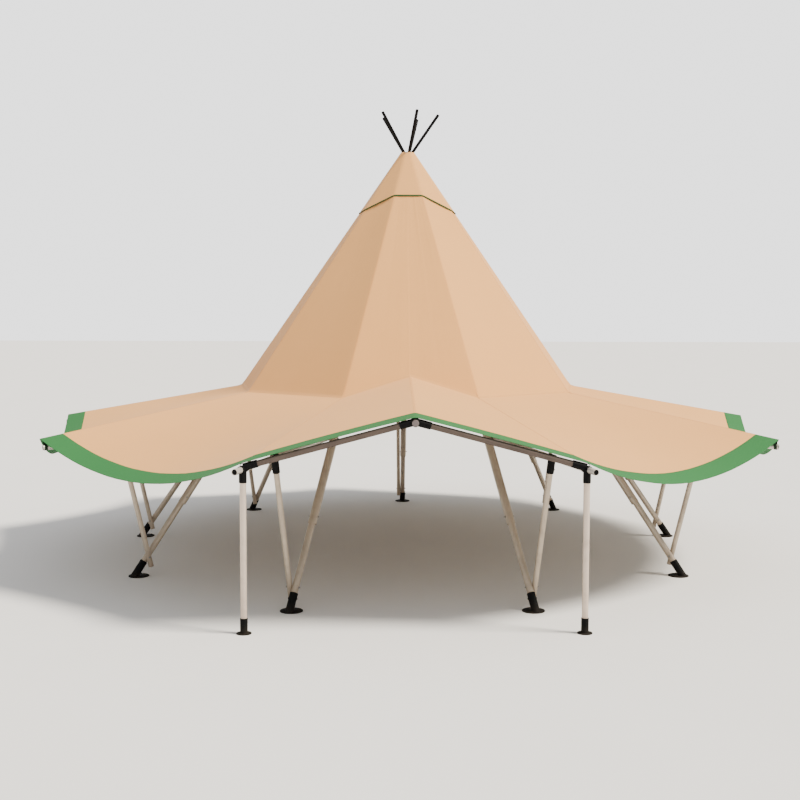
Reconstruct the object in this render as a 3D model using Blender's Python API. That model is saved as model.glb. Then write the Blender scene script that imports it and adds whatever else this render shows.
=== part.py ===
"""Free-standing nine-legged tipi canopy with a wide scalloped brim and a gabled entrance.

Metres, +Z up. The entrance faces -Y. Every piece is built around the cone's axis
and hangs from one empty, so that the finished canopy is centred on the origin.
"""
import math

import bmesh
import bpy
from mathutils import Vector

# Bays: name of each leg and its bearing from the entrance, in degrees towards +X
LEGS = (
    ("front_right", 20), ("right_front", 60), ("right_rear", 100), ("rear_right", 140),
    ("rear", 180), ("rear_left", 220), ("left_rear", 260), ("left_front", 300),
    ("front_left", 340),
)
HALF_BAY = math.radians(20)

# Panels of the cone, each between the leg at the same place in the list and the next one
PANELS = (
    "right_front", "right", "right_rear", "rear_right", "rear_left", "left_rear", "left",
    "left_front", "front",
)

# Cone of cloth: virtual apex and how fast its radius grows per metre down
APEX_Z = 6.115
CONE_SLOPE = 0.7134
CLOTH = 0.004
SEAT = 0.0003

# Brim: break line at the foot of the cone, tips over the arms, sag between the tips
RING_Z = 2.445
TIP_RADIUS = 5.513
TIP_Z = 1.941
BRIM_SAG = 0.39
SAG_POWER = 1.3
SECTOR_STEPS = 12
BRIM_ROWS = 8

# Gable over the entrance
GABLE_FRONT_Y = -4.98
GABLE_PEAK_Z = 2.413
GABLE_START_Z = 2.718
EAVE_X = 1.890
EAVE_Z = 1.913
GABLE_STEPS = 3

# Cap of cloth over the tip of the cone
CAP_TOP_Z = 5.970
CAP_HEM_Z = 5.078
CAP_HEM_FRONT_Z = 5.277
CAP_GAP = 0.001
CONE_TOP_Z = 5.900

# Legs: a lower tube telescoped into a wider upper tube, against its outer side
LEG_RADIUS = 0.053
LEG_WALL = 0.004
FOOT_TUBE_RADIUS = 0.042
FOOT_TUBE_WALL = 0.0035
LEG_TOP_Z = 5.700
LEG_STEP_Z = 0.950
LEG_END_Z = 0.055
LEG_OVERLAP = 0.45

# Boots on round foot plates
BOOT_RADIUS = 0.050
BOOT_TOP_Z = 0.195
PLATE_RADIUS = 0.1375
PLATE_CENTRE = 4.230
PLATE_THICKNESS = 0.012
PLATE_EDGE = 0.003
SOCKET_FLOOR_Z = 0.020

# Arms that carry the brim, and the struts under them
ARM_RADIUS = 0.035
ARM_WALL = 0.003
ARM_SOCKET_RADIUS = 4.485
ARM_SOCKET_Z = 1.8715
ARM_DROP = 0.045
ARM_INNER = 2.800
ARM_OUTER = 5.490
STRUT_RADIUS = 0.034
STRUT_BOLT_Z = 0.262
STRUT_END_Z = 0.130
STRUT_START = 0.060
SLEEVE_RADIUS = 0.044
SLEEVE_HALF_LENGTH = 0.055
SLEEVE_SOCKET_LENGTH = 0.190

# Entrance frame: posts, rafters, ridge tube and the cross bar it rests on
POST_X = 1.893
POST_RADIUS = 0.036
POST_WALL = 0.003
POST_BOTTOM_Z = 0.020
POST_FOOT_RADIUS = 0.0425
POST_FOOT_HEIGHT = 0.175
POST_PLATE_RADIUS = 0.085
POST_PLATE_THICKNESS = 0.010
POST_HEAD = 0.065
RAFTER_RADIUS = 0.035
RAFTER_WALL = 0.003
RAFTER_FOOT_Z = 1.857
RAFTER_PEAK_Z = 2.360
RAFTER_INSET = 0.065
FITTING_RADIUS = 0.043
TEE_RAFTER_REACH = 0.168
TEE_POST_REACH = 0.150
TEE_ARM_HALF = 0.060
TEE_RAFTER_END = 0.010
ELBOW_REACH = 0.178
RIDGE_RADIUS = 0.040
RIDGE_WALL = 0.004
RIDGE_Z = 2.356
RIDGE_FRONT = 0.080
RIDGE_BACK_Y = -2.200
RIDGE_SLEEVE_RADIUS = 0.0465
RIDGE_SLEEVE_HALF = 0.052
CROSS_BAR_RADIUS = 0.030
CROSS_BAR_WALL = 0.003

# Hub under the cap and the five crown rods
HUB_BOTTOM_Z = 5.420
HUB_TOP_Z = 5.720
HUB_WALL = 0.006
SPIGOT_RADIUS = 0.055
FLANGE_RADIUS = 0.128
FLANGE_Z = 5.906
FLANGE_THICKNESS = 0.010
ROD_COUNT = 5
ROD_TURN = math.radians(-1.5)
ROD_RADIUS = 0.022
ROD_BASE_RADIUS = 0.020
ROD_BASE_Z = 5.900
ROD_TIP_RADIUS = 0.460
ROD_TIP_Z = 6.535

TUBE_SIDES = 16
HUB_SIDES = 36

# Values worked out from the ones above
LEAN = math.sqrt(1 + CONE_SLOPE ** 2)
FACET_SLOPE = CONE_SLOPE * math.cos(HALF_BAY)
FACET_RISE = 1 / math.sqrt(1 + FACET_SLOPE ** 2)
FACET_OFFSET = 1 / (FACET_RISE * math.cos(HALF_BAY))
LEG_INSET = (LEG_RADIUS + CLOTH + SEAT) * FACET_OFFSET
FOOT_SHIFT = LEG_RADIUS - LEG_WALL - FOOT_TUBE_RADIUS
ARM_SIDE = LEG_RADIUS + ARM_RADIUS + SEAT
STRUT_FOOT_SIDE = FOOT_TUBE_RADIUS + STRUT_RADIUS + SEAT
GABLE_COLUMN = SECTOR_STEPS * (len(LEGS) - 1)


def cone_radius(height, outward=0.0):
    """Corner radius of the nine-sided cone, moved outward square to its facets."""
    return CONE_SLOPE * (APEX_Z - height) + outward * FACET_OFFSET


def leg_radius(height):
    """Distance of a leg's axis from the cone's axis."""
    return cone_radius(height) - LEG_INSET


def arm_z(radius):
    """Height of an arm's axis."""
    return ARM_SOCKET_Z - ARM_DROP * (radius - ARM_SOCKET_RADIUS)


def around(radius, bearing, height):
    """Point at a bearing from the entrance, which faces -Y."""
    return Vector((radius * math.sin(bearing), -radius * math.cos(bearing), height))


LEG_AXIS = Vector((0, CONE_SLOPE, 1)) / LEAN
LEG_OUTWARD = Vector((0, -1, CONE_SLOPE)) / LEAN
ARM_AXIS = Vector((0, -1, -ARM_DROP)).normalized()
FRONT_REACH = (ARM_OUTER * math.cos(HALF_BAY) - (ARM_SIDE - ARM_RADIUS) * math.sin(HALF_BAY))
CONE_Y = (FRONT_REACH - TIP_RADIUS) / 2


def material(name, colour, roughness, metallic):
    """Plain Principled finish."""
    mat = bpy.data.materials.new(name)
    mat.use_nodes = True
    shader = mat.node_tree.nodes["Principled BSDF"]
    shader.inputs["Base Color"].default_value = (*colour, 1)
    shader.inputs["Roughness"].default_value = roughness
    shader.inputs["Metallic"].default_value = metallic
    mat.diffuse_color = (*colour, 1)
    return mat


def section(axis, side):
    """Two directions square to a tube's axis: the second lies along the side."""
    axis = axis.normalized()
    across = axis.cross(side).normalized()
    return across, across.cross(axis).normalized()


def ring(centre, axis, radius, side=Vector((1, 0, 0)), sides=TUBE_SIDES):
    """Circle of points square to an axis."""
    across, along = section(axis, side)
    turns = [2 * math.pi * k / sides for k in range(sides)]
    return [centre + radius * (math.cos(t) * across + math.sin(t) * along) for t in turns]


def level_ring(centre, axis, radius, height):
    """Where a leaning tube's surface meets a level plane."""
    points = ring(centre, axis, radius)
    return [p + axis * ((height - p.z) / axis.z) for p in points]


def loft(name, rings, closed):
    """Solid through rings of points: a loop of rings, or a stack with both ends filled."""
    mesh = bpy.data.meshes.new(name)
    bm = bmesh.new()
    loops = [[bm.verts.new(p) for p in points] for points in rings]
    pairs = list(zip(loops, loops[1:]))
    if closed:
        pairs.append((loops[-1], loops[0]))
    for low, high in pairs:
        count = len(low)
        for k in range(count):
            nxt = (k + 1) % count
            bm.faces.new((low[k], low[nxt], high[nxt], high[k]))
    if not closed:
        bm.faces.new(loops[0])
        bm.faces.new(loops[-1])
    bmesh.ops.recalc_face_normals(bm, faces=bm.faces)
    bm.to_mesh(mesh)
    bm.free()
    return mesh


def smooth(mesh):
    """Shade the round sides smooth and keep the rims crisp."""
    mesh.shade_smooth()
    mesh.set_sharp_from_angle(angle=math.radians(35))
    return mesh


def rod(name, start, end, radius, side=Vector((1, 0, 0))):
    """Solid round bar between two points."""
    axis = end - start
    return loft(name, [ring(p, axis, radius, side) for p in (start, end)], closed=False)


def tube(name, start, end, radius, wall, side=Vector((1, 0, 0))):
    """Open-ended tube between two points."""
    axis = end - start
    bore = radius - wall
    stations = ((start, radius), (end, radius), (end, bore), (start, bore))
    return loft(name, [ring(p, axis, r, side) for p, r in stations], closed=True)


def combined(name, solids, bores):
    """Union of round solids, drilled by bores."""
    base = bpy.data.objects.new(name + "_base", solids[0])
    helpers = [base]
    bpy.context.collection.objects.link(base)
    steps = [(mesh, "UNION") for mesh in solids[1:]] + [(mesh, "DIFFERENCE") for mesh in bores]
    for mesh, operation in steps:
        helper = bpy.data.objects.new(mesh.name + "_cutter", mesh)
        helper.hide_render = True
        helper.display_type = "WIRE"
        bpy.context.collection.objects.link(helper)
        helpers.append(helper)
        cut = base.modifiers.new(operation.lower(), "BOOLEAN")
        cut.operation = operation
        cut.solver = "EXACT"
        cut.object = helper
    graph = bpy.context.evaluated_depsgraph_get()
    result = bpy.data.meshes.new_from_object(base.evaluated_get(graph))
    result.name = name
    for helper in helpers:
        bpy.data.objects.remove(helper)
    return result


def leg_mesh():
    """Stepped telescopic tube along the cone, in the frame of a leg at bearing zero."""
    def axis_point(height):
        return Vector((0, -leg_radius(height), height))

    shift = LEG_OUTWARD * FOOT_SHIFT
    foot = axis_point(LEG_END_Z) + shift
    step = axis_point(LEG_STEP_Z)
    top = axis_point(LEG_TOP_Z)
    overlap = step + LEG_AXIS * LEG_OVERLAP
    upper_bore = LEG_RADIUS - LEG_WALL
    lower_bore = FOOT_TUBE_RADIUS - FOOT_TUBE_WALL
    stations = (
        (foot, FOOT_TUBE_RADIUS), (step + shift, FOOT_TUBE_RADIUS), (step, LEG_RADIUS),
        (top, LEG_RADIUS), (top, upper_bore), (overlap, upper_bore),
        (overlap + shift, lower_bore), (foot, lower_bore),
    )
    return smooth(loft("leg", [ring(p, LEG_AXIS, r) for p, r in stations], closed=True))


def boot_mesh():
    """Leaning socket on a round foot plate."""
    shift = LEG_OUTWARD * FOOT_SHIFT
    top = Vector((0, -leg_radius(BOOT_TOP_Z), BOOT_TOP_Z)) + shift
    plate = Vector((0, -PLATE_CENTRE, 0))
    up = Vector((0, 0, 1))
    bore = FOOT_TUBE_RADIUS + SEAT
    edge_z = PLATE_THICKNESS - PLATE_EDGE
    rings = (
        ring(plate, up, PLATE_RADIUS),
        ring(plate + up * edge_z, up, PLATE_RADIUS),
        ring(plate + up * PLATE_THICKNESS, up, PLATE_RADIUS - PLATE_EDGE),
        level_ring(top, LEG_AXIS, BOOT_RADIUS, PLATE_THICKNESS),
        ring(top, LEG_AXIS, BOOT_RADIUS),
        ring(top, LEG_AXIS, bore),
        level_ring(top, LEG_AXIS, bore, SOCKET_FLOOR_Z),
    )
    return smooth(loft("boot", rings, closed=False))


def arm_point(radius, hand):
    """Point on the axis of an arm beside a leg at bearing zero."""
    return Vector((hand * ARM_SIDE, -radius, arm_z(radius)))


def strut_line(hand):
    """Top point on the arm's axis, and the unit direction down the strut."""
    top = arm_point(ARM_SOCKET_RADIUS, hand)
    shift = FOOT_SHIFT * LEAN
    bolt_radius = leg_radius(STRUT_BOLT_Z) + shift
    bolt = Vector((hand * STRUT_FOOT_SIDE, -bolt_radius, STRUT_BOLT_Z))
    return top, (bolt - top).normalized()


def arm_mesh(hand):
    """Near-level tube bolted to the side of a leg."""
    ends = arm_point(ARM_INNER, hand), arm_point(ARM_OUTER, hand)
    return smooth(tube("arm", *ends, ARM_RADIUS, ARM_WALL))


def strut_mesh(hand):
    """Tube down to the foot of the leg, with the tee at its top that slides on the arm."""
    top, down = strut_line(hand)
    half = ARM_AXIS * SLEEVE_HALF_LENGTH
    start = top + down * STRUT_START
    end = top + down * ((STRUT_END_Z - top.z) / down.z)
    solids = [
        rod("collar", top - half, top + half, SLEEVE_RADIUS),
        rod("socket", top, top + down * SLEEVE_SOCKET_LENGTH, SLEEVE_RADIUS),
        rod("strut_tube", start, end, STRUT_RADIUS),
    ]
    bores = [
        rod("arm_bore", top - half * 2, top + half * 2, ARM_RADIUS + SEAT),
        rod("strut_bore", start, end + down * STRUT_RADIUS, STRUT_RADIUS - ARM_WALL),
    ]
    return smooth(combined("strut", solids, bores))


def post_top(hand):
    """Where an entrance post meets the axis of its arm."""
    reach = (POST_X - ARM_SIDE * math.cos(HALF_BAY)) / math.sin(HALF_BAY)
    y = -reach * math.cos(HALF_BAY) + ARM_SIDE * math.sin(HALF_BAY)
    return Vector((hand * POST_X, y, arm_z(reach)))


def rafter_line(hand):
    """Foot of a rafter's axis, and the unit direction up to the peak."""
    foot = post_top(hand)
    foot.z = RAFTER_FOOT_Z
    peak = Vector((0, foot.y, RAFTER_PEAK_Z))
    return foot, peak, (peak - foot).normalized()


def ridge_point(y):
    """Point on the axis of the ridge tube, which runs parallel to the cloth above it."""
    front = post_top(1).y
    start_y = -FACET_SLOPE * (APEX_Z - GABLE_START_Z)
    rise = (GABLE_START_Z - GABLE_PEAK_Z) / (start_y - GABLE_FRONT_Y)
    return Vector((0, y, RIDGE_Z + rise * (y - front)))


def post_mesh(hand):
    """Upright tube at a corner of the entrance."""
    top = post_top(hand)
    base = Vector((top.x, top.y, POST_BOTTOM_Z))
    head = top - Vector((0, 0, POST_HEAD))
    return smooth(tube("post", base, head, POST_RADIUS, POST_WALL))


def post_foot_mesh(hand):
    """Upright socket on a small round plate."""
    top = post_top(hand)
    up = Vector((0, 0, 1))
    base = Vector((top.x, top.y, 0))
    bore = POST_RADIUS + SEAT
    edge_z = POST_PLATE_THICKNESS - PLATE_EDGE
    stations = (
        (0, POST_PLATE_RADIUS), (edge_z, POST_PLATE_RADIUS),
        (POST_PLATE_THICKNESS, POST_PLATE_RADIUS - PLATE_EDGE),
        (POST_PLATE_THICKNESS, POST_FOOT_RADIUS), (POST_FOOT_HEIGHT, POST_FOOT_RADIUS),
        (POST_FOOT_HEIGHT, bore), (POST_BOTTOM_Z - SEAT, bore),
    )
    rings = [ring(base + up * z, up, radius) for z, radius in stations]
    return smooth(loft("post_foot", rings, closed=False))


def rafter_mesh(hand):
    """Sloping tube from a post to the peak of the gable."""
    foot, peak, up = rafter_line(hand)
    side = Vector((0, 1, 0))
    ends = foot + up * RAFTER_INSET, peak - up * RAFTER_INSET
    return smooth(tube("rafter", *ends, RAFTER_RADIUS, RAFTER_WALL, side))


def tee_mesh(hand):
    """Corner fitting that joins a post, a rafter and the front arm through it."""
    top = post_top(hand)
    foot, _, up = rafter_line(hand)
    down = Vector((0, 0, -1))
    rafter_side = Vector((0, 1, 0))
    bearing = hand * HALF_BAY
    arm_side = Vector((math.cos(bearing), math.sin(bearing), 0))
    arm_axis = Vector((math.sin(bearing), -math.cos(bearing), -ARM_DROP)).normalized()
    half = arm_axis * TEE_ARM_HALF
    solids = [
        rod("arm_collar", top - half, top + half, FITTING_RADIUS, arm_side),
        rod("post_socket", top, top + down * TEE_POST_REACH, FITTING_RADIUS),
        rod("rafter_socket", foot + up * TEE_RAFTER_END, foot + up * TEE_RAFTER_REACH,
            FITTING_RADIUS, rafter_side),
    ]
    bores = [
        rod("arm_bore", top - half * 2, top + half * 2, ARM_RADIUS + SEAT, arm_side),
        rod("post_bore", top, top + down * TEE_POST_REACH * 1.2, POST_RADIUS + SEAT),
        rod("rafter_bore", foot + up * (RAFTER_INSET - SEAT), foot + up * TEE_RAFTER_REACH * 1.2,
            RAFTER_RADIUS + SEAT, rafter_side),
    ]
    return smooth(combined("tee", solids, bores))


def elbow_mesh():
    """Peak fitting that joins both rafters and the ridge tube."""
    side = Vector((0, 1, 0))
    solids = []
    bores = []
    for hand in (1, -1):
        _, peak, up = rafter_line(hand)
        solids.append(rod("rafter_socket", peak, peak - up * ELBOW_REACH, FITTING_RADIUS, side))
        bores.append(rod("rafter_bore", peak - up * (RAFTER_INSET - SEAT),
                         peak - up * ELBOW_REACH * 1.2, RAFTER_RADIUS + SEAT, side))
    middle = post_top(1).y
    ends = [ridge_point(middle + s * RIDGE_SLEEVE_HALF) for s in (-1, 1)]
    far = [ridge_point(middle + s * RIDGE_SLEEVE_HALF * 2) for s in (-1, 1)]
    solids.append(rod("ridge_sleeve", *ends, RIDGE_SLEEVE_RADIUS))
    bores.append(rod("ridge_bore", *far, RIDGE_RADIUS + SEAT))
    return smooth(combined("peak_elbow", solids, bores))


def ridge_mesh():
    """Ridge tube with a closed front end."""
    front = ridge_point(post_top(1).y - RIDGE_FRONT)
    back = ridge_point(RIDGE_BACK_Y)
    axis = (back - front).normalized()
    bore = RIDGE_RADIUS - RIDGE_WALL
    stations = (
        (front, RIDGE_RADIUS), (back, RIDGE_RADIUS), (back, bore),
        (front + axis * RIDGE_WALL, bore),
    )
    return smooth(loft("ridge_tube", [ring(p, axis, r) for p, r in stations], closed=False))


def cross_bar_mesh():
    """Bar between the front legs, which the back of the ridge tube rests on."""
    rise = (ridge_point(0) - ridge_point(-1)).z
    height = GABLE_START_Z
    for _ in range(20):
        y = -leg_radius(height) * math.cos(HALF_BAY)
        height = ridge_point(y).z - RIDGE_RADIUS * math.hypot(1, rise) - CROSS_BAR_RADIUS - SEAT
    lean = CONE_SLOPE * math.sin(HALF_BAY)
    beside = LEG_RADIUS / math.sqrt(1 - (lean / LEAN) ** 2) + lean * CROSS_BAR_RADIUS + SEAT
    x = leg_radius(height) * math.sin(HALF_BAY) - beside
    ends = Vector((-x, y, height)), Vector((x, y, height))
    side = Vector((0, 1, 0))
    return smooth(tube("cross_bar", *ends, CROSS_BAR_RADIUS, CROSS_BAR_WALL, side))


def crown_mesh():
    """Conical hub that the legs lie on, with the five rods that show above the cap."""
    up = Vector((0, 0, 1))
    clearance = LEG_RADIUS * LEAN + SEAT

    def hub_radius(height):
        return leg_radius(height) - clearance

    stations = (
        (HUB_TOP_Z - HUB_WALL, hub_radius(HUB_TOP_Z) - HUB_WALL),
        (HUB_BOTTOM_Z, hub_radius(HUB_BOTTOM_Z) - HUB_WALL * LEAN),
        (HUB_BOTTOM_Z, hub_radius(HUB_BOTTOM_Z)),
        (HUB_TOP_Z, hub_radius(HUB_TOP_Z)),
        (HUB_TOP_Z, SPIGOT_RADIUS),
        (FLANGE_Z, SPIGOT_RADIUS),
        (FLANGE_Z, FLANGE_RADIUS),
        (FLANGE_Z + FLANGE_THICKNESS, FLANGE_RADIUS),
    )
    rings = [ring(up * z, up, radius, sides=HUB_SIDES) for z, radius in stations]
    solids = [loft("hub", rings, closed=False)]
    for k in range(ROD_COUNT):
        turn = 2 * math.pi * k / ROD_COUNT + ROD_TURN
        outward = Vector((math.cos(turn), math.sin(turn), 0))
        base = outward * ROD_BASE_RADIUS + up * ROD_BASE_Z
        tip = outward * ROD_TIP_RADIUS + up * ROD_TIP_Z
        side = up.cross(outward)
        solids.append(rod("crown_rod_%d" % k, base, tip, ROD_RADIUS, side))
    return smooth(combined("crown", solids, []))


def fold_drop(outward_slope, cone_slope, inset):
    """How far the inner cloth's fold lies below the outer cloth's fold."""
    thickness = CLOTH * math.hypot(1, outward_slope)
    return (thickness - outward_slope * inset) / (1 - outward_slope * cone_slope)


def fold_points(shift, inner):
    """Loop of points where the cone meets the brim, with the gable's start in front."""
    brim_slope = (RING_Z - TIP_Z) / (TIP_RADIUS - cone_radius(RING_Z))
    start_y = -FACET_SLOPE * (APEX_Z - GABLE_START_Z)
    gable_slope = (GABLE_START_Z - GABLE_PEAK_Z) / (start_y - GABLE_FRONT_Y)
    drop = fold_drop(brim_slope, CONE_SLOPE, CLOTH * FACET_OFFSET) if inner else 0
    start_drop = fold_drop(gable_slope, FACET_SLOPE, CLOTH / FACET_RISE) if inner else 0
    inset = -CLOTH if inner else 0
    z = RING_Z - drop
    radius = cone_radius(z, inset) + shift
    corners = [around(radius, math.radians(bearing), z) for _, bearing in LEGS]
    start_z = GABLE_START_Z - start_drop
    apothem = cone_radius(start_z, inset) * math.cos(HALF_BAY) + shift
    return corners, Vector((0, -apothem, start_z))


def panel_mesh(index):
    """Flat panel of the cone between two legs; the front one is cut up to the gable's start."""
    sides = (index, (index + 1) % len(LEGS))
    layers = []
    for inner in (False, True):
        corners, start = fold_points(0, inner)
        top_radius = cone_radius(CONE_TOP_Z, -CLOTH if inner else 0)
        low = [corners[k] for k in sides]
        high = [around(top_radius, math.radians(LEGS[k][1]), CONE_TOP_Z) for k in sides]
        inset = (low[1] - low[0]).normalized() * (SEAT / 2 / math.cos(HALF_BAY))
        low = [low[0] + inset, low[1] - inset]
        high = [high[0] + inset, high[1] - inset]
        if sides[1] == 0:
            low.insert(1, start)
            high.insert(1, (high[0] + high[1]) / 2)
        layers += [low, high] if not inner else [high, low]
    stations = [list(points) for points in zip(*layers)]
    return triangulated(loft("canopy_panel", stations, closed=False))


def cap_mesh():
    """Cap of cloth over the tip, raised at the entrance side."""
    rings = []
    for outward in (CAP_GAP + CLOTH, CAP_GAP):
        hem = []
        top = []
        for index, (_, bearing) in enumerate(LEGS):
            front = index in (0, len(LEGS) - 1)
            z = CAP_HEM_FRONT_Z if front else CAP_HEM_Z
            angle = math.radians(bearing)
            hem.append(around(cone_radius(z, outward), angle, z))
            top.append(around(cone_radius(CAP_TOP_Z, outward), angle, CAP_TOP_Z))
        rings.append((hem, top))
    (hem, top), (hem_in, top_in) = rings
    return loft("canopy_cap", [hem, top, top_in, hem_in], closed=True)


def brim_point(near, far, across, out):
    """Point on a sector of the brim: along the sector, then from the fold to the edge."""
    start = near[0].lerp(near[1], across)
    end = far[0].lerp(far[1], across)
    point = start.lerp(end, out)
    point.z -= BRIM_SAG * 4 * across * (1 - across) * out ** SAG_POWER
    return point


def brim_rows(inner):
    """Loops of points from the fold out to the edge, all round the canopy."""
    corners, start = fold_points(SEAT / math.cos(HALF_BAY), inner)
    thickness = CLOTH * 1.04 if inner else 0
    down = Vector((0, 0, -thickness))
    tips = [around(TIP_RADIUS, math.radians(bearing), TIP_Z) + down for _, bearing in LEGS]
    tips[0] = Vector((EAVE_X, GABLE_FRONT_Y, EAVE_Z)) + down
    tips[-1] = Vector((-EAVE_X, GABLE_FRONT_Y, EAVE_Z)) + down
    peak = Vector((0, GABLE_FRONT_Y, GABLE_PEAK_Z)) + down
    rows = []
    for row in range(BRIM_ROWS + 1):
        out = row / BRIM_ROWS
        points = []
        for k in range(len(LEGS) - 1):
            for step in range(SECTOR_STEPS):
                near = corners[k], corners[k + 1]
                far = tips[k], tips[k + 1]
                points.append(brim_point(near, far, step / SECTOR_STEPS, out))
        left = corners[-1].lerp(tips[-1], out)
        ridge = start.lerp(peak, out)
        right = corners[0].lerp(tips[0], out)
        points += [left.lerp(ridge, step / GABLE_STEPS) for step in range(GABLE_STEPS)]
        points += [ridge.lerp(right, step / GABLE_STEPS) for step in range(GABLE_STEPS)]
        rows.append(points)
    return rows


def triangulated(mesh):
    """Split bent faces along their higher diagonal, so that both sides of the cloth bend alike."""
    bm = bmesh.new()
    bm.from_mesh(mesh)
    for face in [f for f in bm.faces if len(f.verts) == 4]:
        a, b, c, d = face.verts
        if a.co.z + c.co.z > b.co.z + d.co.z:
            bmesh.utils.face_split(face, a, c)
        else:
            bmesh.utils.face_split(face, b, d)
    bmesh.ops.triangulate(bm, faces=[f for f in bm.faces if len(f.verts) > 3])
    bm.to_mesh(mesh)
    bm.free()
    return mesh


def cloth_between(name, first, last, inset=0.0):
    """Closed sheet of cloth between two columns of the brim, drawn in at both sides."""
    rows = brim_rows(inner=False) + brim_rows(inner=True)[::-1]
    count = len(rows[0])
    stations = [[row[k % count] for row in rows] for k in range(first, last + 1)]
    ends = []
    for side, neighbour in ((0, 1), (-1, -2)):
        pairs = zip(stations[side], stations[neighbour])
        ends.append([p + (q - p).normalized() * inset for p, q in pairs])
    stations[0], stations[-1] = ends
    return smooth(triangulated(loft(name, stations, closed=False)))


def brim_mesh():
    """Brim that sags between its tips, from one side of the entrance round to the other."""
    return cloth_between("canopy_brim", 0, GABLE_COLUMN)


def gable_mesh():
    """Gable over the entrance, between the ends of the brim."""
    return cloth_between("canopy_gable", GABLE_COLUMN, GABLE_COLUMN + 2 * GABLE_STEPS, SEAT)


def place(name, mesh, finish, bearing=0):
    """Hang one piece from the empty on the cone's axis."""
    obj = bpy.data.objects.new(name, mesh)
    if not mesh.materials:
        mesh.materials.append(finish)
    obj.parent = AXIS_EMPTY
    obj.rotation_euler.z = math.radians(bearing)
    bpy.context.collection.objects.link(obj)


for old in list(bpy.data.objects):
    bpy.data.objects.remove(old)
AXIS_EMPTY = bpy.data.objects.new("cone_axis", None)
AXIS_EMPTY.location = (0, CONE_Y, 0)
bpy.context.collection.objects.link(AXIS_EMPTY)

ALUMINIUM = material("brushed_aluminium", (0.66, 0.60, 0.53), 0.38, 0.85)
BLACK = material("black_powder_coat", (0.012, 0.012, 0.013), 0.5, 0.2)
CANVAS = material("tan_canvas", (0.68, 0.47, 0.33), 0.85, 0.0)
CAP_CANVAS = material("tan_cap_canvas", (0.70, 0.50, 0.35), 0.85, 0.0)

LEG = leg_mesh()
BOOT = boot_mesh()
HANDED = {hand: (arm_mesh(hand), strut_mesh(hand)) for hand in (1, -1)}
for leg_name, leg_bearing in LEGS:
    arm, strut = HANDED[-1 if leg_name == "front_left" else 1]
    place("leg_" + leg_name, LEG, ALUMINIUM, leg_bearing)
    place("boot_" + leg_name, BOOT, BLACK, leg_bearing)
    place("arm_" + leg_name, arm, ALUMINIUM, leg_bearing)
    place("strut_" + leg_name, strut, ALUMINIUM, leg_bearing)

for side_name, side_hand in (("right", 1), ("left", -1)):
    place("post_" + side_name, post_mesh(side_hand), ALUMINIUM)
    place("post_foot_" + side_name, post_foot_mesh(side_hand), BLACK)
    place("post_tee_" + side_name, tee_mesh(side_hand), BLACK)
    place("rafter_" + side_name, rafter_mesh(side_hand), ALUMINIUM)

place("peak_elbow", elbow_mesh(), BLACK)
place("ridge_tube", ridge_mesh(), ALUMINIUM)
place("cross_bar", cross_bar_mesh(), ALUMINIUM)
place("crown", crown_mesh(), BLACK)
for panel_index, panel_name in enumerate(PANELS):
    place("canopy_panel_" + panel_name, panel_mesh(panel_index), CANVAS)
place("canopy_brim", brim_mesh(), CANVAS)
place("canopy_gable", gable_mesh(), CANVAS)
place("canopy_cap", cap_mesh(), CAP_CANVAS)
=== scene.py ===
# %% [markdown]
# # A tipi canopy in canvas, aluminium tube and black steel
# The CAD model already fixes every place and size. This lesson dresses it: the cloth becomes
# one continuous sewn sheet, the tubes and fittings get their rims, welds and bolts, and every
# surface gets its own finish. The CAD frame is loaded first and never changed.

# %% Load the frame
import math

import bmesh
import bpy
import numpy as np
from mathutils import Matrix, Vector, noise


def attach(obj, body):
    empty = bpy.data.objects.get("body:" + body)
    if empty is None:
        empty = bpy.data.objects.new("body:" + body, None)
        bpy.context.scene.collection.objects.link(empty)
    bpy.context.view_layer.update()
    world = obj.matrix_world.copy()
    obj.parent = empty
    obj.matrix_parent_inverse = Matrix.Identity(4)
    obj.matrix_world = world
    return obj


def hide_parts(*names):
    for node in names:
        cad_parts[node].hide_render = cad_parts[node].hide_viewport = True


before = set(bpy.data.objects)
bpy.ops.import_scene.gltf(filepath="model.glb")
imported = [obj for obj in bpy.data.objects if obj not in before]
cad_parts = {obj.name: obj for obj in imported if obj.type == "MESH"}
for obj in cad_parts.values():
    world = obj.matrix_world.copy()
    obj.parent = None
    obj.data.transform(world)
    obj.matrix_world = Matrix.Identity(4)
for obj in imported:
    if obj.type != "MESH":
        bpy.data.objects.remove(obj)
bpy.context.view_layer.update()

# %% [markdown]
# ## Nine bays round one axis
# The canopy is nine equal bays round a vertical axis, with its entrance towards -Y. A leg, its
# boot, arm and strut are the same in every bay, so each is built once beside a leg that points
# at the entrance (bearing zero) and then turned to its place. The cloth's cone has its corners
# over the legs. All sizes are the CAD's own, and each is named where it is first needed.

# %% Name the bays and the cone
BAY_NAMES = ("front_right", "right_front", "right_rear", "rear_right", "rear", "rear_left",
             "left_rear", "left_front", "front_left")
BAYS = len(BAY_NAMES)
BEARINGS = [math.radians(20 + 40 * k) for k in range(BAYS)]
HALF_BAY = math.radians(20)
APEX_Z, CONE_SLOPE = 6.115, 0.7134
LEAN = math.hypot(1, CONE_SLOPE)
FACET_SLOPE = CONE_SLOPE * math.cos(HALF_BAY)
FACET_OFFSET = math.hypot(1, FACET_SLOPE) / math.cos(HALF_BAY)


def cone_radius(height):
    """Radius of the cone's corners, where its panels meet over the legs."""
    return CONE_SLOPE * (APEX_Z - height)


def around(radius, bearing, height):
    """Point at a bearing from the entrance, in the cone's own frame."""
    return np.array((radius * math.sin(bearing), -radius * math.cos(bearing), height))


print("a leg leans", round(math.degrees(math.atan(CONE_SLOPE)), 1), "degrees")

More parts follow.
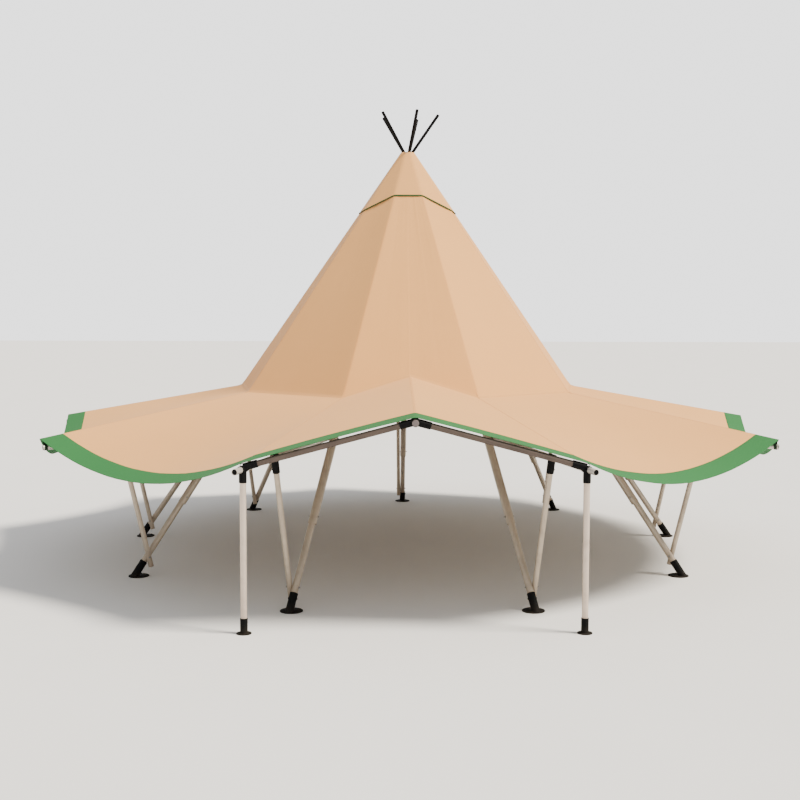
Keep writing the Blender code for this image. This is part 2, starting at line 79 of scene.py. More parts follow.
# %% [markdown]
# A leg lies inside its corner of the cone, one cloth's thickness in. Its arm is bolted beside it
# and drops a little outwards. Touching parts keep a hair of room, which is the seat. The real
# origin is the middle of the whole canopy, so the cone's own axis stands a little in front of it.

# %% Set out a leg and its arm
SEAT, CLOTH = 0.0003, 0.004
LEG_RADIUS, LEG_WALL = 0.053, 0.004
ARM_RADIUS, ARM_WALL, ARM_INNER, ARM_OUTER, ARM_DROP = 0.035, 0.003, 2.800, 5.490, 0.045
TEE_REACH, TEE_Z, TIP_RADIUS = 4.485, 1.8715, 5.513
LEG_INSET = (LEG_RADIUS + CLOTH + SEAT) * FACET_OFFSET
ARM_SIDE = LEG_RADIUS + ARM_RADIUS + SEAT
LEG_AXIS = np.array((0, CONE_SLOPE, 1)) / LEAN
LEG_OUTWARD = np.array((0, -1, CONE_SLOPE)) / LEAN
ARM_AXIS = np.array((0, -1, -ARM_DROP)) / math.hypot(1, ARM_DROP)
UP, DOWN = np.array((0, 0, 1.0)), np.array((0, 0, -1.0))
BACK, FORTH = np.array((0, 1.0, 0)), np.array((0, -1.0, 0))
AXIS_Y = (ARM_OUTER * math.cos(HALF_BAY) - (ARM_SIDE - ARM_RADIUS) * math.sin(HALF_BAY)
          - TIP_RADIUS) / 2


def leg_point(height):
    """Point on the axis of the leg at bearing zero."""
    return np.array((0, LEG_INSET - cone_radius(height), height))


def arm_point(radius, hand):
    """Point on the axis of the arm that lies beside the leg at bearing zero."""
    return np.array((hand * ARM_SIDE, -radius, TEE_Z - ARM_DROP * (radius - TEE_REACH)))


print("the cone's axis stands at y =", round(AXIS_Y, 4))

# %% [markdown]
# ## Turning a profile into a mesh
# Almost every rigid piece here is turned: a profile of distances and radii swept round a line.
# Blender could do it with a Screw modifier, but plain rows of points give a UV map in metres at
# the same time, and the brushed grain of the tubes needs that. The rows are joined into quads,
# doubled points are merged and the faces are turned outwards.

# %% Sweep a profile and join its rows
def unit(vectors):
    """The same directions with length one."""
    return np.asarray(vectors, float) / np.linalg.norm(vectors, axis=-1, keepdims=True)


def turned(start, axis, profile, side=(1, 0, 0), count=40):
    """Rows of points round a line, from (distance, radius) pairs, with a UV map in metres."""
    axis = unit(axis)
    across = unit(np.cross(axis, side))
    along = unit(np.cross(across, axis))
    turns = np.linspace(0, 2 * math.pi, count + 1)
    circle = np.cos(turns)[:, None] * across + np.sin(turns)[:, None] * along
    far, radius = np.array(profile, float).T
    points = np.asarray(start) + far[:, None, None] * axis + radius[:, None, None] * circle
    run = np.concatenate(([0], np.cumsum(np.hypot(np.diff(far), np.diff(radius)))))
    girth = np.tile(turns * radius.max(), (len(run), 1))
    return points, np.stack((girth, np.tile(run[:, None], (1, count + 1))), axis=-1)


def mesh_of(name, *grids, sharp=32):
    """One mesh from grids of points, with doubles merged and faces turned outwards."""
    points, quads, corners, offset = [], [], [], 0
    for rows, uvs in grids:
        high, wide = rows.shape[:2]
        index = np.arange(high * wide).reshape(high, wide) + offset
        faces = np.stack((index[:-1, :-1], index[:-1, 1:], index[1:, 1:], index[1:, :-1]), -1)
        quads.append(faces.reshape(-1, 4))
        points.append(rows.reshape(-1, 3))
        corners.append(uvs.reshape(-1, 2))
        offset += high * wide
    quads = np.concatenate(quads)
    mesh = bpy.data.meshes.new(name)
    mesh.from_pydata(np.concatenate(points).tolist(), [], quads.tolist())
    layer = mesh.uv_layers.new(name="metres")
    layer.data.foreach_set("uv", np.concatenate(corners)[quads.ravel()].ravel())
    bm = bmesh.new()
    bm.from_mesh(mesh)
    bmesh.ops.remove_doubles(bm, verts=bm.verts, dist=1e-6)
    bmesh.ops.recalc_face_normals(bm, faces=bm.faces)
    bm.to_mesh(mesh)
    bm.free()
    mesh.shade_smooth()
    mesh.set_sharp_from_angle(angle=math.radians(sharp))
    return mesh


# %% [markdown]
# Tubes and bars are the two profiles that come back most. Sawn ends are never knife-sharp, so
# both have edges broken by less than a millimetre, which catch a thin line of light.

# %% Describe tubes and bars
def span(start, end):
    """Start, direction and length of the line between two points."""
    start, end = np.asarray(start, float), np.asarray(end, float)
    return start, end - start, np.linalg.norm(end - start)


def tube(start, end, radius, wall, side=(1, 0, 0)):
    """Open tube between two points."""
    start, way, length = span(start, end)
    bore, rim = radius - wall, 0.0007
    profile = [(0, bore + rim), (0, radius - rim), (rim, radius), (length - rim, radius),
               (length, radius - rim), (length, bore + rim), (length - rim, bore), (rim, bore),
               (0, bore + rim)]
    return turned(start, way, profile, side)


def rod(start, end, radius, side=(1, 0, 0)):
    """Solid bar between two points."""
    start, way, length = span(start, end)
    rim = 0.0008
    profile = [(0, 0), (0, radius - rim), (rim, radius), (length - rim, radius),
               (length, radius - rim), (length, 0)]
    return turned(start, way, profile, side)


# %% [markdown]
# ## Writing node trees in code
# Geometry trees and finishes are both built from nodes. One helper adds a node and fills its
# inputs with values or with what feeds them, and short helpers add the kinds that come back
# often. A tree starts from its named sockets.

# %% Make the node helpers
def node(tree, kind, inputs=(), **settings):
    """Add a node. Inputs are values, or the nodes or sockets that feed them."""
    made = tree.nodes.new(kind)
    for key, value in settings.items():
        setattr(made, key, value)
    for key, value in dict(inputs).items():
        if isinstance(value, bpy.types.Node):
            value = value.outputs[0]
        if isinstance(value, bpy.types.NodeSocket):
            tree.links.new(value, made.inputs[key])
        else:
            made.inputs[key].default_value = value
    return made


def calc(tree, operation, *values, clamp=False):
    """Add a Math node."""
    return node(tree, "ShaderNodeMath", enumerate(values), operation=operation, use_clamp=clamp)


def joined_xyz(tree, **parts):
    """Add a node that makes a vector of its parts."""
    return node(tree, "ShaderNodeCombineXYZ", parts)


def new_tree(name, kind, outputs, **inputs):
    """Start a node group with named sockets, and return it with its two end nodes."""
    tree = bpy.data.node_groups.new(name, kind)
    for direction, sockets in (("INPUT", inputs), ("OUTPUT", outputs)):
        for label, socket in sockets.items():
            tree.interface.new_socket(label.replace("_", " "), in_out=direction,
                                      socket_type="NodeSocket" + socket)
    return tree, tree.nodes.new("NodeGroupInput").outputs, tree.nodes.new("NodeGroupOutput").inputs


# %% [markdown]
# ## Copying a piece round the axis
# The nine bays repeat, so Geometry Nodes turns one finished piece into a ring of copies. Every
# geometry tree here ends the same way: it realizes its instances and sets the material. A tree
# is run on a holder object, its inputs are set by their identifiers, and the result is saved as
# a plain mesh.

# %% Run a geometry tree
def new_object(name, data):
    """Put new data in the scene."""
    obj = bpy.data.objects.new(name, data)
    bpy.context.scene.collection.objects.link(obj)
    return obj


def geometry_tree(name, **inputs):
    """Start a geometry tree, with named inputs between the geometry and the material."""
    return new_tree(name, "GeometryNodeTree", {"Geometry": "Geometry"},
                    Geometry="Geometry", **inputs, Material="Material")


def finish_tree(tree, geometry, given, out):
    """End a tree in Realize Instances and Set Material."""
    real = node(tree, "GeometryNodeRealizeInstances", {"Geometry": geometry})
    done = node(tree, "GeometryNodeSetMaterial", {"Geometry": real, "Material": given["Material"]})
    tree.links.new(done.outputs[0], out["Geometry"])


def grown(mesh, tree, **values):
    """Run a geometry tree on a mesh and keep the result as a plain mesh."""
    holder = new_object("holder", mesh)
    modifier = holder.modifiers.new("tree", "NODES")
    modifier.node_group = tree
    for item in tree.interface.items_tree:
        key = item.name.replace(" ", "_")
        if item.in_out == "INPUT" and key in values:
            modifier[item.identifier] = values[key]
    graph = bpy.context.evaluated_depsgraph_get()
    result = bpy.data.meshes.new_from_object(holder.evaluated_get(graph), depsgraph=graph)
    bpy.data.objects.remove(holder)
    return result


# %% [markdown]
# The ring tree puts a row of points on the axis, one for each bay, and an instance of the piece
# on each point. Each instance is turned by the step times its index, starting at a bearing.

# %% Make the ring tree
RING, given, out = geometry_tree("ring_of_bays", Count="Int", First_Bearing="Float",
                                 Step="Float", Axis_Y="Float")
index = node(RING, "GeometryNodeInputIndex")
turn = calc(RING, "MULTIPLY_ADD", index, given["Step"], given["First Bearing"])
centre = joined_xyz(RING, Y=given["Axis Y"])
points = node(RING, "GeometryNodePoints", {"Count": given["Count"], "Position": centre})
copies = node(RING, "GeometryNodeInstanceOnPoints",
              {"Points": points, "Instance": given["Geometry"],
               "Rotation": joined_xyz(RING, Z=turn)})
finish_tree(RING, copies, given, out)


def ring_of(mesh, material, first=0, count=BAYS):
    """Copies of a bay's piece round the axis, starting at a leg's number."""
    return grown(mesh, RING, Count=count, First_Bearing=BEARINGS[first], Step=math.radians(40),
                 Axis_Y=AXIS_Y, Material=material)


print("ring tree:", len(RING.nodes), "nodes")

# %% [markdown]
# ## Showing a piece
# A finished mesh becomes an object at the origin.

# %% Make the piece helpers
PIECES = []


def merged(name, *meshes):
    """Join finished meshes into one."""
    bm = bmesh.new()
    for mesh in meshes:
        bm.from_mesh(mesh)
    result = bpy.data.meshes.new(name)
    bm.to_mesh(result)
    bm.free()
    return result


def on_axis(mesh):
    """Move a mesh from the cone's own frame to the world."""
    mesh.transform(Matrix.Translation((0, AXIS_Y, 0)))
    return mesh


def piece(name, mesh, material, slot, *nodes, sharp=32):
    """Show a mesh as a piece of the canopy, in place of the CAD nodes that it stands for."""
    mesh.materials.clear()
    mesh.materials.append(material)
    if sharp:
        mesh.shade_smooth()
        mesh.set_sharp_from_angle(angle=math.radians(sharp))
    obj = new_object(name, mesh)
    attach(obj, "root")
    if nodes:
        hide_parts(*nodes)
    PIECES.append(obj)
    mesh.calc_loop_triangles()
    print(f"{name}: {len(mesh.loop_triangles)} triangles")
    return obj


def central(name, grids, material, slot, *nodes, sharp=32):
    """Show a piece built from grids of points in the cone's own frame."""
    mesh = on_axis(mesh_of(name, *grids, sharp=sharp))
    return piece(name, mesh, material, slot, *nodes, sharp=sharp)


def bays(kind):
    """The CAD's node names of one kind, in all nine bays."""
    return [kind + "_" + name for name in BAY_NAMES]


# %% [markdown]
# ## Finishes and the effects they share
# Real surfaces differ in small ways everywhere: yarns in cloth, fine lines in drawn tube,
# orange peel in powder coat, and dust near the ground. Each effect is one shader node group
# that gives out a colour, a height and a roughness, and each material uses it with its own
# numbers. The patterns read the piece's UV map in metres, or its Object coordinates.

# %% Make the shader helpers
SURFACE = {"Colour": "Color", "Height": "Float", "Roughness": "Float"}


def noise_at(tree, place, scale, detail, roughness=0.5):
    """Add a noise pattern and return its strength."""
    return node(tree, "ShaderNodeTexNoise", {"Vector": place, "Scale": scale, "Detail": detail,
                                             "Roughness": roughness}).outputs["Fac"]


def remap(tree, value, low=0.0, high=1.0, to_low=0.0, to_high=1.0):
    """Add a node that stretches one range of values to another."""
    return node(tree, "ShaderNodeMapRange", {"Value": value, "From Min": low, "From Max": high,
                                             "To Min": to_low, "To Max": to_high})


def blend(tree, share, first, second, kind="RGBA"):
    """Add a Mix node and return its result."""
    return node(tree, "ShaderNodeMix", {"Factor": share, "A": first, "B": second},
                data_type=kind).outputs["Result"]


def send(tree, ends, **results):
    """Link results, nodes or sockets, to the sockets that take them."""
    for label, result in results.items():
        socket = result.outputs[0] if isinstance(result, bpy.types.Node) else result
        tree.links.new(socket, ends[label.replace("_", " ")])


def blank(name, **sockets):
    """Start a material, with even values set on the shader itself."""
    mat = bpy.data.materials.new(name)
    mat.use_nodes = True
    shader = mat.node_tree.nodes["Principled BSDF"]
    for label, value in sockets.items():
        shader.inputs[label.replace("_", " ")].default_value = value
    coords = node(mat.node_tree, "ShaderNodeTexCoord")
    return mat, mat.node_tree, shader, coords.outputs


def effect(tree, group, **inputs):
    """Use a shared effect in a material. Colours are given as red, green and blue."""
    values = {label.replace("_", " "): (*value, 1) if isinstance(value, tuple) else value
              for label, value in inputs.items()}
    return node(tree, "ShaderNodeGroup", values, node_tree=group).outputs


def coated(tree, shader, colour, roughness, height, depth):
    """Feed a colour, a roughness and a height, in metres, to the shader."""
    bump = node(tree, "ShaderNodeBump", {"Height": height, "Distance": depth, "Strength": 1.0})
    send(tree, shader.inputs, Base_Color=colour, Roughness=roughness, Normal=bump)


# %% [markdown]
# ### Dust near the ground
# Feet and lower tubes stand in splashed soil. The dust is thickest at the ground, broken up by
# noise, and fades out at a given height. It covers the colour and dulls the surface.

# %% Make the dust group
DUST, given, out = new_tree("ground_dust", "ShaderNodeTree",
                            {"Colour": "Color", "Roughness": "Float"}, Place="Vector",
                            Colour="Color", Dust_Colour="Color", Height="Float",
                            Roughness="Float")
place = node(DUST, "ShaderNodeSeparateXYZ", {"Vector": given["Place"]})
low_down = remap(DUST, place.outputs["Z"], given["Height"], 0.0)
amount = calc(DUST, "MULTIPLY", low_down, noise_at(DUST, given["Place"], 24.0, 6.0, 0.65),
              clamp=True)
send(DUST, out, Colour=blend(DUST, amount, given["Colour"], given["Dust Colour"]),
     Roughness=blend(DUST, amount, given["Roughness"], 0.9, "FLOAT"))


def dusted(tree, coords, colour, roughness, dust, height):
    """Colour and roughness with dust on them up to a height, or unchanged where that is 0."""
    if not height:
        return colour, roughness
    layer = effect(tree, DUST, Place=coords["Object"], Colour=colour, Dust_Colour=dust,
                   Height=height, Roughness=roughness)
    return layer["Colour"], layer["Roughness"]


# %% [markdown]
# ### Drawn aluminium
# A tube is drawn through a die, which leaves fine lines along it. Noise pulled out 150 times as
# long as wide gives them, and reads the UV map, which runs round and along the tube. Handling
# leaves duller, darker patches.

# %% Make the tube finish
GRAIN, given, out = new_tree("drawn_tube_grain", "ShaderNodeTree", SURFACE, Vector="Vector",
                             Place="Vector", Colour="Color", Dull_Colour="Color",
                             Roughness="Float")
pulled = node(GRAIN, "ShaderNodeVectorMath", {0: given["Vector"], 1: (900.0, 6.0, 1.0)},
              operation="MULTIPLY")
lines = noise_at(GRAIN, pulled, 1.0, 3.0)
handled = remap(GRAIN, noise_at(GRAIN, given["Place"], 5.0, 5.0, 0.6), 0.45, 0.75)
spread = calc(GRAIN, "MULTIPLY_ADD", lines, 0.16, given["Roughness"])
send(GRAIN, out, Colour=blend(GRAIN, handled, given["Colour"], given["Dull Colour"]),
     Height=lines, Roughness=calc(GRAIN, "MULTIPLY_ADD", handled, 0.10, spread, clamp=True))


def metal_material(name, metallic, colour, dull, roughness, dust_height=0.0):
    """Drawn aluminium tube, a little dusty near the ground."""
    mat, tree, shader, coords = blank(name, Metallic=metallic, Specular_IOR_Level=0.4)
    grain = effect(tree, GRAIN, Vector=coords["UV"], Place=coords["Object"], Colour=colour,
                   Dull_Colour=dull, Roughness=roughness)
    colours = dusted(tree, coords, grain["Colour"], grain["Roughness"], (0.30, 0.22, 0.15),
                     dust_height)
    coated(tree, shader, *colours, grain["Height"], 0.00005)
    return mat


TUBE = metal_material("aluminium_tube", 0.55, (0.500, 0.420, 0.330), (0.380, 0.310, 0.240),
                      0.36, 0.45)
print(TUBE.name, "has", len(TUBE.node_tree.nodes), "nodes")

# %% [markdown]
# ### Powder coat
# The black fittings are sprayed with powder and baked. The coat has a fine orange peel, and its
# edges and faces are rubbed to grey in spots. Very dark base colours are needed, because the
# view transform lifts blacks.

# %% Make the coat finish
COAT, given, out = new_tree("powder_coat_texture", "ShaderNodeTree", SURFACE, Place="Vector",
                            Colour="Color", Scuff_Colour="Color", Scuffing="Float")
peel = noise_at(COAT, given["Place"], 900.0, 2.0)
scuffs = noise_at(COAT, given["Place"], 38.0, 8.0, 0.7)
rubbed = calc(COAT, "MULTIPLY", remap(COAT, scuffs, 0.62, 0.72), given["Scuffing"])
send(COAT, out, Colour=blend(COAT, rubbed, given["Colour"], given["Scuff Colour"]),
     Height=peel, Roughness=remap(COAT, scuffs, to_low=0.50, to_high=0.78))


def coat_material(name, colour, scuff, scuffing, dust_height=0.0):
    """Black powder coat, rubbed to grey in places."""
    mat, tree, shader, coords = blank(name, Metallic=0.0, Specular_IOR_Level=0.10)
    coat = effect(tree, COAT, Place=coords["Object"], Colour=colour, Scuff_Colour=scuff,
                  Scuffing=scuffing)
    colours = dusted(tree, coords, coat["Colour"], coat["Roughness"], (0.030, 0.024, 0.018),
                     dust_height)
    coated(tree, shader, *colours, coat["Height"], 0.00008)
    return mat


BLACK = coat_material("black_fitting_coat", (0.0032, 0.0032, 0.0034), (0.016, 0.016, 0.016), 0.30)
BOOT = coat_material("black_boot_coat", (0.0030, 0.0030, 0.0030), (0.018, 0.017, 0.016), 0.4,
                     0.12)
print(BOOT.name, "has", len(BOOT.node_tree.nodes), "nodes")

# %% [markdown]
# ### Woven cloth
# Canvas is two sets of yarns crossing. Two wave textures at right angles make the weave, slubs
# speckle it, and slow clouds vary the dye. The scale is in yarns per metre of the UV map. The
# canopy's inner face gets a darker grey, painted shade for the inside of the canopy: a face
# attribute marks it, and the coat's group colours it.

# %% Make the cloth finish
WEAVE, given, out = new_tree("cloth_weave", "ShaderNodeTree", SURFACE, Vector="Vector",
                             Place="Vector", Colour="Color", Dark_Colour="Color",
                             Yarns_per_Metre="Float", Cloudiness="Float")
scaled = node(WEAVE, "ShaderNodeVectorMath", {0: given["Vector"],
                                              "Scale": given["Yarns per Metre"]},
              operation="SCALE")
warp, weft = [node(WEAVE, "ShaderNodeTexWave", {"Vector": scaled, "Scale": 0.5,
                                                "Distortion": 0.6, "Detail": 1.0},
                   bands_direction=way).outputs["Fac"] for way in "XY"]
yarns = calc(WEAVE, "MULTIPLY", warp, weft)
slubs = noise_at(WEAVE, given["Place"], 55.0, 3.0)
clouds = calc(WEAVE, "MULTIPLY", noise_at(WEAVE, given["Place"], 1.1, 4.0, 0.55),
              given["Cloudiness"])
speckle = calc(WEAVE, "MULTIPLY_ADD", slubs, 0.22, clouds)
share = calc(WEAVE, "MULTIPLY_ADD", yarns, -0.16, speckle, clamp=True)
send(WEAVE, out, Colour=blend(WEAVE, share, given["Colour"], given["Dark Colour"]),
     Height=yarns, Roughness=remap(WEAVE, slubs, to_low=0.78, to_high=0.95))


def cloth_material(name, colour, dark, yarns, cloudiness, sheen=0.15, underside_painted_shade=None):
    """Matt woven cloth. A darker colour, painted shade, is shown on the faces marked as inner."""
    mat, tree, shader, coords = blank(name, Sheen_Weight=sheen, Sheen_Roughness=0.5,
                                      Specular_IOR_Level=0.2)
    weave = effect(tree, WEAVE, Vector=coords["UV"], Place=coords["Object"], Colour=colour,
                   Dark_Colour=dark, Yarns_per_Metre=yarns, Cloudiness=cloudiness)
    shown = weave["Colour"]
    if underside_painted_shade:
        inner = node(tree, "ShaderNodeAttribute", attribute_name="inner")
        coat = effect(tree, COAT, Place=coords["Object"], Colour=underside_painted_shade, Scuff_Colour=dark,
                      Scuffing=0.25)
        shown = blend(tree, inner.outputs["Fac"], shown, coat["Colour"])
    coated(tree, shader, shown, weave["Roughness"], weave["Height"], 0.0004)
    return mat


# The underside colour is painted shade: the canopy's inner faces are darkened to stand for the
# shade inside it.
CANVAS = cloth_material("tan_canvas", (0.785, 0.394, 0.128), (0.686, 0.324, 0.096), 1400, 0.30,
                        underside_painted_shade=(0.36, 0.29, 0.215))
print(CANVAS.name, "has", len(CANVAS.node_tree.nodes), "nodes")

# %% [markdown]
# ## The legs
# Each leg is a 106 mm tube with an 84 mm tube telescoped into its foot, and a through-bolt sets
# the length. Two separate hollow tubes with broken rims show the step better than one stepped
# form. The narrower tube lies against the outer side of the wider one.

# %% Build the legs
LEG_TOP_Z, LEG_STEP_Z, LEG_END_Z, LEG_OVERLAP = 5.700, 0.950, 0.055, 0.45
FOOT_TUBE_RADIUS, FOOT_TUBE_WALL = 0.042, 0.0035
FOOT_SHIFT = LEG_RADIUS - LEG_WALL - FOOT_TUBE_RADIUS
shift = LEG_OUTWARD * FOOT_SHIFT
step_point = leg_point(LEG_STEP_Z)
upper = mesh_of("leg_upper", tube(step_point, leg_point(LEG_TOP_Z), LEG_RADIUS, LEG_WALL))
piece("leg_upper_tubes", ring_of(upper, TUBE), TUBE, "tube", *bays("leg"))
lower_top = step_point + shift + LEG_AXIS * LEG_OVERLAP
lower = mesh_of("leg_lower", tube(leg_point(LEG_END_Z) + shift, lower_top, FOOT_TUBE_RADIUS,
                                  FOOT_TUBE_WALL))
piece("leg_lower_tubes", ring_of(lower, TUBE), TUBE, "tube")

# %% [markdown]
# ## Boots
# A leaning socket is welded on a round plate. The socket's foot is cut level with the plate, so
# its lowest rings are slid along the tube's own axis until they meet that level. A small bead
# with a slight ripple follows the joint, as a weld does.

# %% Make weld beads and slid rings
def across_path(path, outward):
    """Two unit directions square to a closed path, the first close to a given direction."""
    ahead = unit(np.roll(path, -1, 0) - np.roll(path, 1, 0))
    outward = unit(outward - (outward * ahead).sum(1)[:, None] * ahead)
    return outward, np.cross(ahead, outward)


def weld(path, radius=0.0035, sides=8):
    """Weld bead along a closed path."""
    outward, third = across_path(path, path - path.mean(0))
    turns = np.linspace(0, 2 * math.pi, sides + 1)
    wave = radius * (1 + 0.10 * np.sin(np.arange(len(path)) * 1.7))
    rows = path[:, None] + wave[:, None, None] * (
        np.cos(turns)[None, :, None] * outward[:, None]
        + np.sin(turns)[None, :, None] * third[:, None])
    rows = np.concatenate((rows, rows[:1]))
    return rows, np.stack(np.meshgrid(turns * radius, np.arange(len(rows)) * radius), -1)


def slid_ring(centre, radius, height, count=40):
    """Ring of a leaning tube's surface, slid along the tube until it lies level."""
    ring = turned(centre, LEG_AXIS, [(0, radius)], count=count)[0][0]
    return ring + LEG_AXIS * ((height - ring[:, 2]) / LEG_AXIS[2])[:, None]


print("a level cut through a leg is", round(LEAN, 3), "times as long as it is wide")

# %% [markdown]
# The boot's own skin runs from its sunk foot up round the mouth and down the bore to a floor, on
# which the leg's tube rests. The plate is turned, with a rounded upper edge.

# %% Build the boots
BOOT_RADIUS, BOOT_TOP_Z, SOCKET_FLOOR_Z, SUNK = 0.050, 0.195, 0.020, 0.002
PLATE_RADIUS, PLATE_CENTRE, PLATE_THICKNESS, PLATE_EDGE = 0.1375, 4.230, 0.012, 0.003
socket_top = leg_point(BOOT_TOP_Z) + shift
bore, RIM = FOOT_TUBE_RADIUS + SEAT, 0.001
mouth_rows, _ = turned(socket_top, LEG_AXIS, [(-RIM, BOOT_RADIUS), (0, BOOT_RADIUS - RIM),
                                              (0, bore + RIM), (-RIM, bore)])
level_rings = [slid_ring(socket_top, radius, height)[None] for radius, height in (
    (0, PLATE_THICKNESS - SUNK), (BOOT_RADIUS, PLATE_THICKNESS - SUNK),
    (bore, SOCKET_FLOOR_Z), (0, SOCKET_FLOOR_Z))]
socket_rows = np.concatenate((*level_rings[:2], mouth_rows, *level_rings[2:]))
socket_uvs = np.stack(np.meshgrid(np.linspace(0, 0.31, 41), np.arange(8) * 0.05), -1)
plate = turned((0, -PLATE_CENTRE, 0), UP, [
    (0, 0), (0, PLATE_RADIUS - RIM), (RIM, PLATE_RADIUS),
    (PLATE_THICKNESS - PLATE_EDGE, PLATE_RADIUS),
    (PLATE_THICKNESS - PLATE_EDGE * 0.3, PLATE_RADIUS - PLATE_EDGE * 0.3),
    (PLATE_THICKNESS, PLATE_RADIUS - PLATE_EDGE), (PLATE_THICKNESS, 0)], count=64)
boot_weld = weld(slid_ring(socket_top, BOOT_RADIUS, PLATE_THICKNESS, 96)[:-1], 0.005)
boot = mesh_of("boot", (socket_rows, socket_uvs), plate, boot_weld)
piece("boots", ring_of(boot, BOOT), BOOT, "boot", *bays("boot"))

# %% [markdown]
# ## Fittings made of joined tubes
# The black tees and elbows are short tubes welded together. Exact Booleans join their round
# solids and then drill them, which gives the true curved line where they meet. The drills flare
# at the mouth, so the sockets get a small lead-in. The weld follows the saddle, the line where a
# round socket comes out of a round collar.

# %% Join, drill and weld round solids
def joined(name, solids, bores):
    """Union of solids, drilled by bores, with exact Booleans."""
    objects = []
    for number, grid in enumerate([*solids, *bores]):
        objects.append(new_object(f"{name}_{number}", mesh_of(name, grid)))
    for number, obj in enumerate(objects[1:], 1):
        cut = objects[0].modifiers.new("cut", "BOOLEAN")
        cut.operation = "UNION" if number < len(solids) else "DIFFERENCE"
        cut.solver = "EXACT"
        cut.object = obj
    graph = bpy.context.evaluated_depsgraph_get()
    result = bpy.data.meshes.new_from_object(objects[0].evaluated_get(graph))
    for obj in objects:
        bpy.data.objects.remove(obj)
    return cleaned(result)


def cleaned(mesh):
    """Close the slivers that a Boolean leaves where two round skins nearly touch."""
    bm = bmesh.new()
    bm.from_mesh(mesh)
    bmesh.ops.remove_doubles(bm, verts=bm.verts, dist=2e-5)
    bmesh.ops.dissolve_degenerate(bm, edges=bm.edges, dist=2e-5)
    bmesh.ops.triangulate(bm, faces=[face for face in bm.faces if len(face.verts) > 4])
    bmesh.ops.recalc_face_normals(bm, faces=bm.faces)
    open_edges = sum(not edge.is_manifold for edge in bm.edges)
    bm.to_mesh(mesh)
    bm.free()
    print(f"{mesh.name}: {len(mesh.polygons)} faces, {open_edges} open edges")
    return mesh


def bore_of(start, end, radius, side=(1, 0, 0), both=False):
    """Drill with a flared mouth at its end, or at both ends."""
    start, way, length = span(start, end)
    flare = 0.0012
    mouth = [(length - flare, radius), (length + flare, radius + 2 * flare), (length + flare, 0)]
    back = [(0, 0), (0, radius)]
    if both:
        back = [(-flare, 0), (-flare, radius + 2 * flare), (flare, radius)]
    return turned(start, way, back + mouth, side)


def saddle_weld(start, way, radius, centre, axis, collar_radius, count=72):
    """Weld where a round socket comes out of a round collar."""
    way, axis = unit(way), unit(axis)
    first = unit(np.cross(way, axis))
    second = np.cross(way, first)
    turns = np.linspace(0, 2 * math.pi, count, endpoint=False)
    points = start + radius * (np.cos(turns)[:, None] * first + np.sin(turns)[:, None] * second)
    flat = (points - centre) - ((points - centre) @ axis)[:, None] * axis
    ahead = way - (way @ axis) * axis
    half = flat @ ahead
    room = half ** 2 - (ahead @ ahead) * ((flat ** 2).sum(1) - collar_radius ** 2)
    far = (np.sqrt(np.maximum(room, 0)) - half) / (ahead @ ahead)
    return mesh_of("weld", weld(points + far[:, None] * way))


# %% [markdown]
# ## Arms, struts and sliding tees
# A strut runs from the foot of each leg up to its arm. A black tee slides on the arm and holds the
# strut's top in a socket. Its two round parts meet at the strut's own angle.

# %% Build the tee that slides on an arm
STRUT_RADIUS, STRUT_BOLT_Z, STRUT_END_Z, STRUT_START = 0.034, 0.262, 0.130, 0.060
STRUT_SIDE = FOOT_TUBE_RADIUS + STRUT_RADIUS + SEAT
TEE_RADIUS, TEE_HALF, TEE_SOCKET, TEE_BORE_START = 0.044, 0.055, 0.190, 0.05


def strut_line(hand):
    """Top of a strut on the arm's axis, and the direction down it."""
    top = arm_point(TEE_REACH, hand)
    bolt = leg_point(STRUT_BOLT_Z) + (hand * STRUT_SIDE, -FOOT_SHIFT * LEAN, 0)
    return top, unit(bolt - top)


def tee_on_arm(hand):
    """Sliding tee with its weld."""
    top, down = strut_line(hand)
    half, end = ARM_AXIS * TEE_HALF, top + down * TEE_SOCKET
    body = joined("sliding_tee",
                  [rod(top - half, top + half, TEE_RADIUS), rod(top, end, TEE_RADIUS)],
                  [bore_of(top - half, top + half, ARM_RADIUS + SEAT, both=True),
                   bore_of(top + down * TEE_BORE_START, end, STRUT_RADIUS + SEAT)])
    return merged("sliding_tee", body,
                  saddle_weld(top, down, TEE_RADIUS, top, ARM_AXIS, TEE_RADIUS))


# %% [markdown]
# The arms carry the brim and lie beside the legs, in a paler copy of the drawn tube that is
# painted light for their bright ends. A black plug closes each arm's outer end a little way in.
# Eight arms lie on the right of their legs. The ninth, beside the entrance, lies on the left, so
# it and what it holds are built again as mirror images.

# %% Build the arms, plugs and struts
# Painted light: the arms are a paler copy of the drawn tube, for the bright ends that catch the
# light.
ARM_TUBE_PAINTED_LIGHT = metal_material("arm_tube", 0.60, (0.680, 0.630, 0.570), (0.520, 0.465, 0.405), 0.30)
# Painted shade: the black plug is an end plug that also keeps each arm's bore dark.
PLUG_DEPTH, PLUG_LENGTH = 0.012, 0.020


def arm_tube(hand):
    """Arm beside its leg."""
    return mesh_of("arm", tube(arm_point(ARM_INNER, hand), arm_point(ARM_OUTER, hand),
                               ARM_RADIUS, ARM_WALL))


def arm_shade_plug(hand):
    """Plug a little way inside the arm's outer end, which also keeps the bore dark as painted
    shade.
    """
    mouth = arm_point(ARM_OUTER, hand) - ARM_AXIS * PLUG_DEPTH
    return mesh_of("plug", rod(mouth, mouth - ARM_AXIS * PLUG_LENGTH,
                               ARM_RADIUS - ARM_WALL - SEAT))


def strut_tube(hand):
    """Strut from its tee down to the foot of the leg."""
    top, down = strut_line(hand)
    end = top + down * ((STRUT_END_Z - top[2]) / down[2])
    return mesh_of("strut", tube(top + down * STRUT_START, end, STRUT_RADIUS, ARM_WALL))


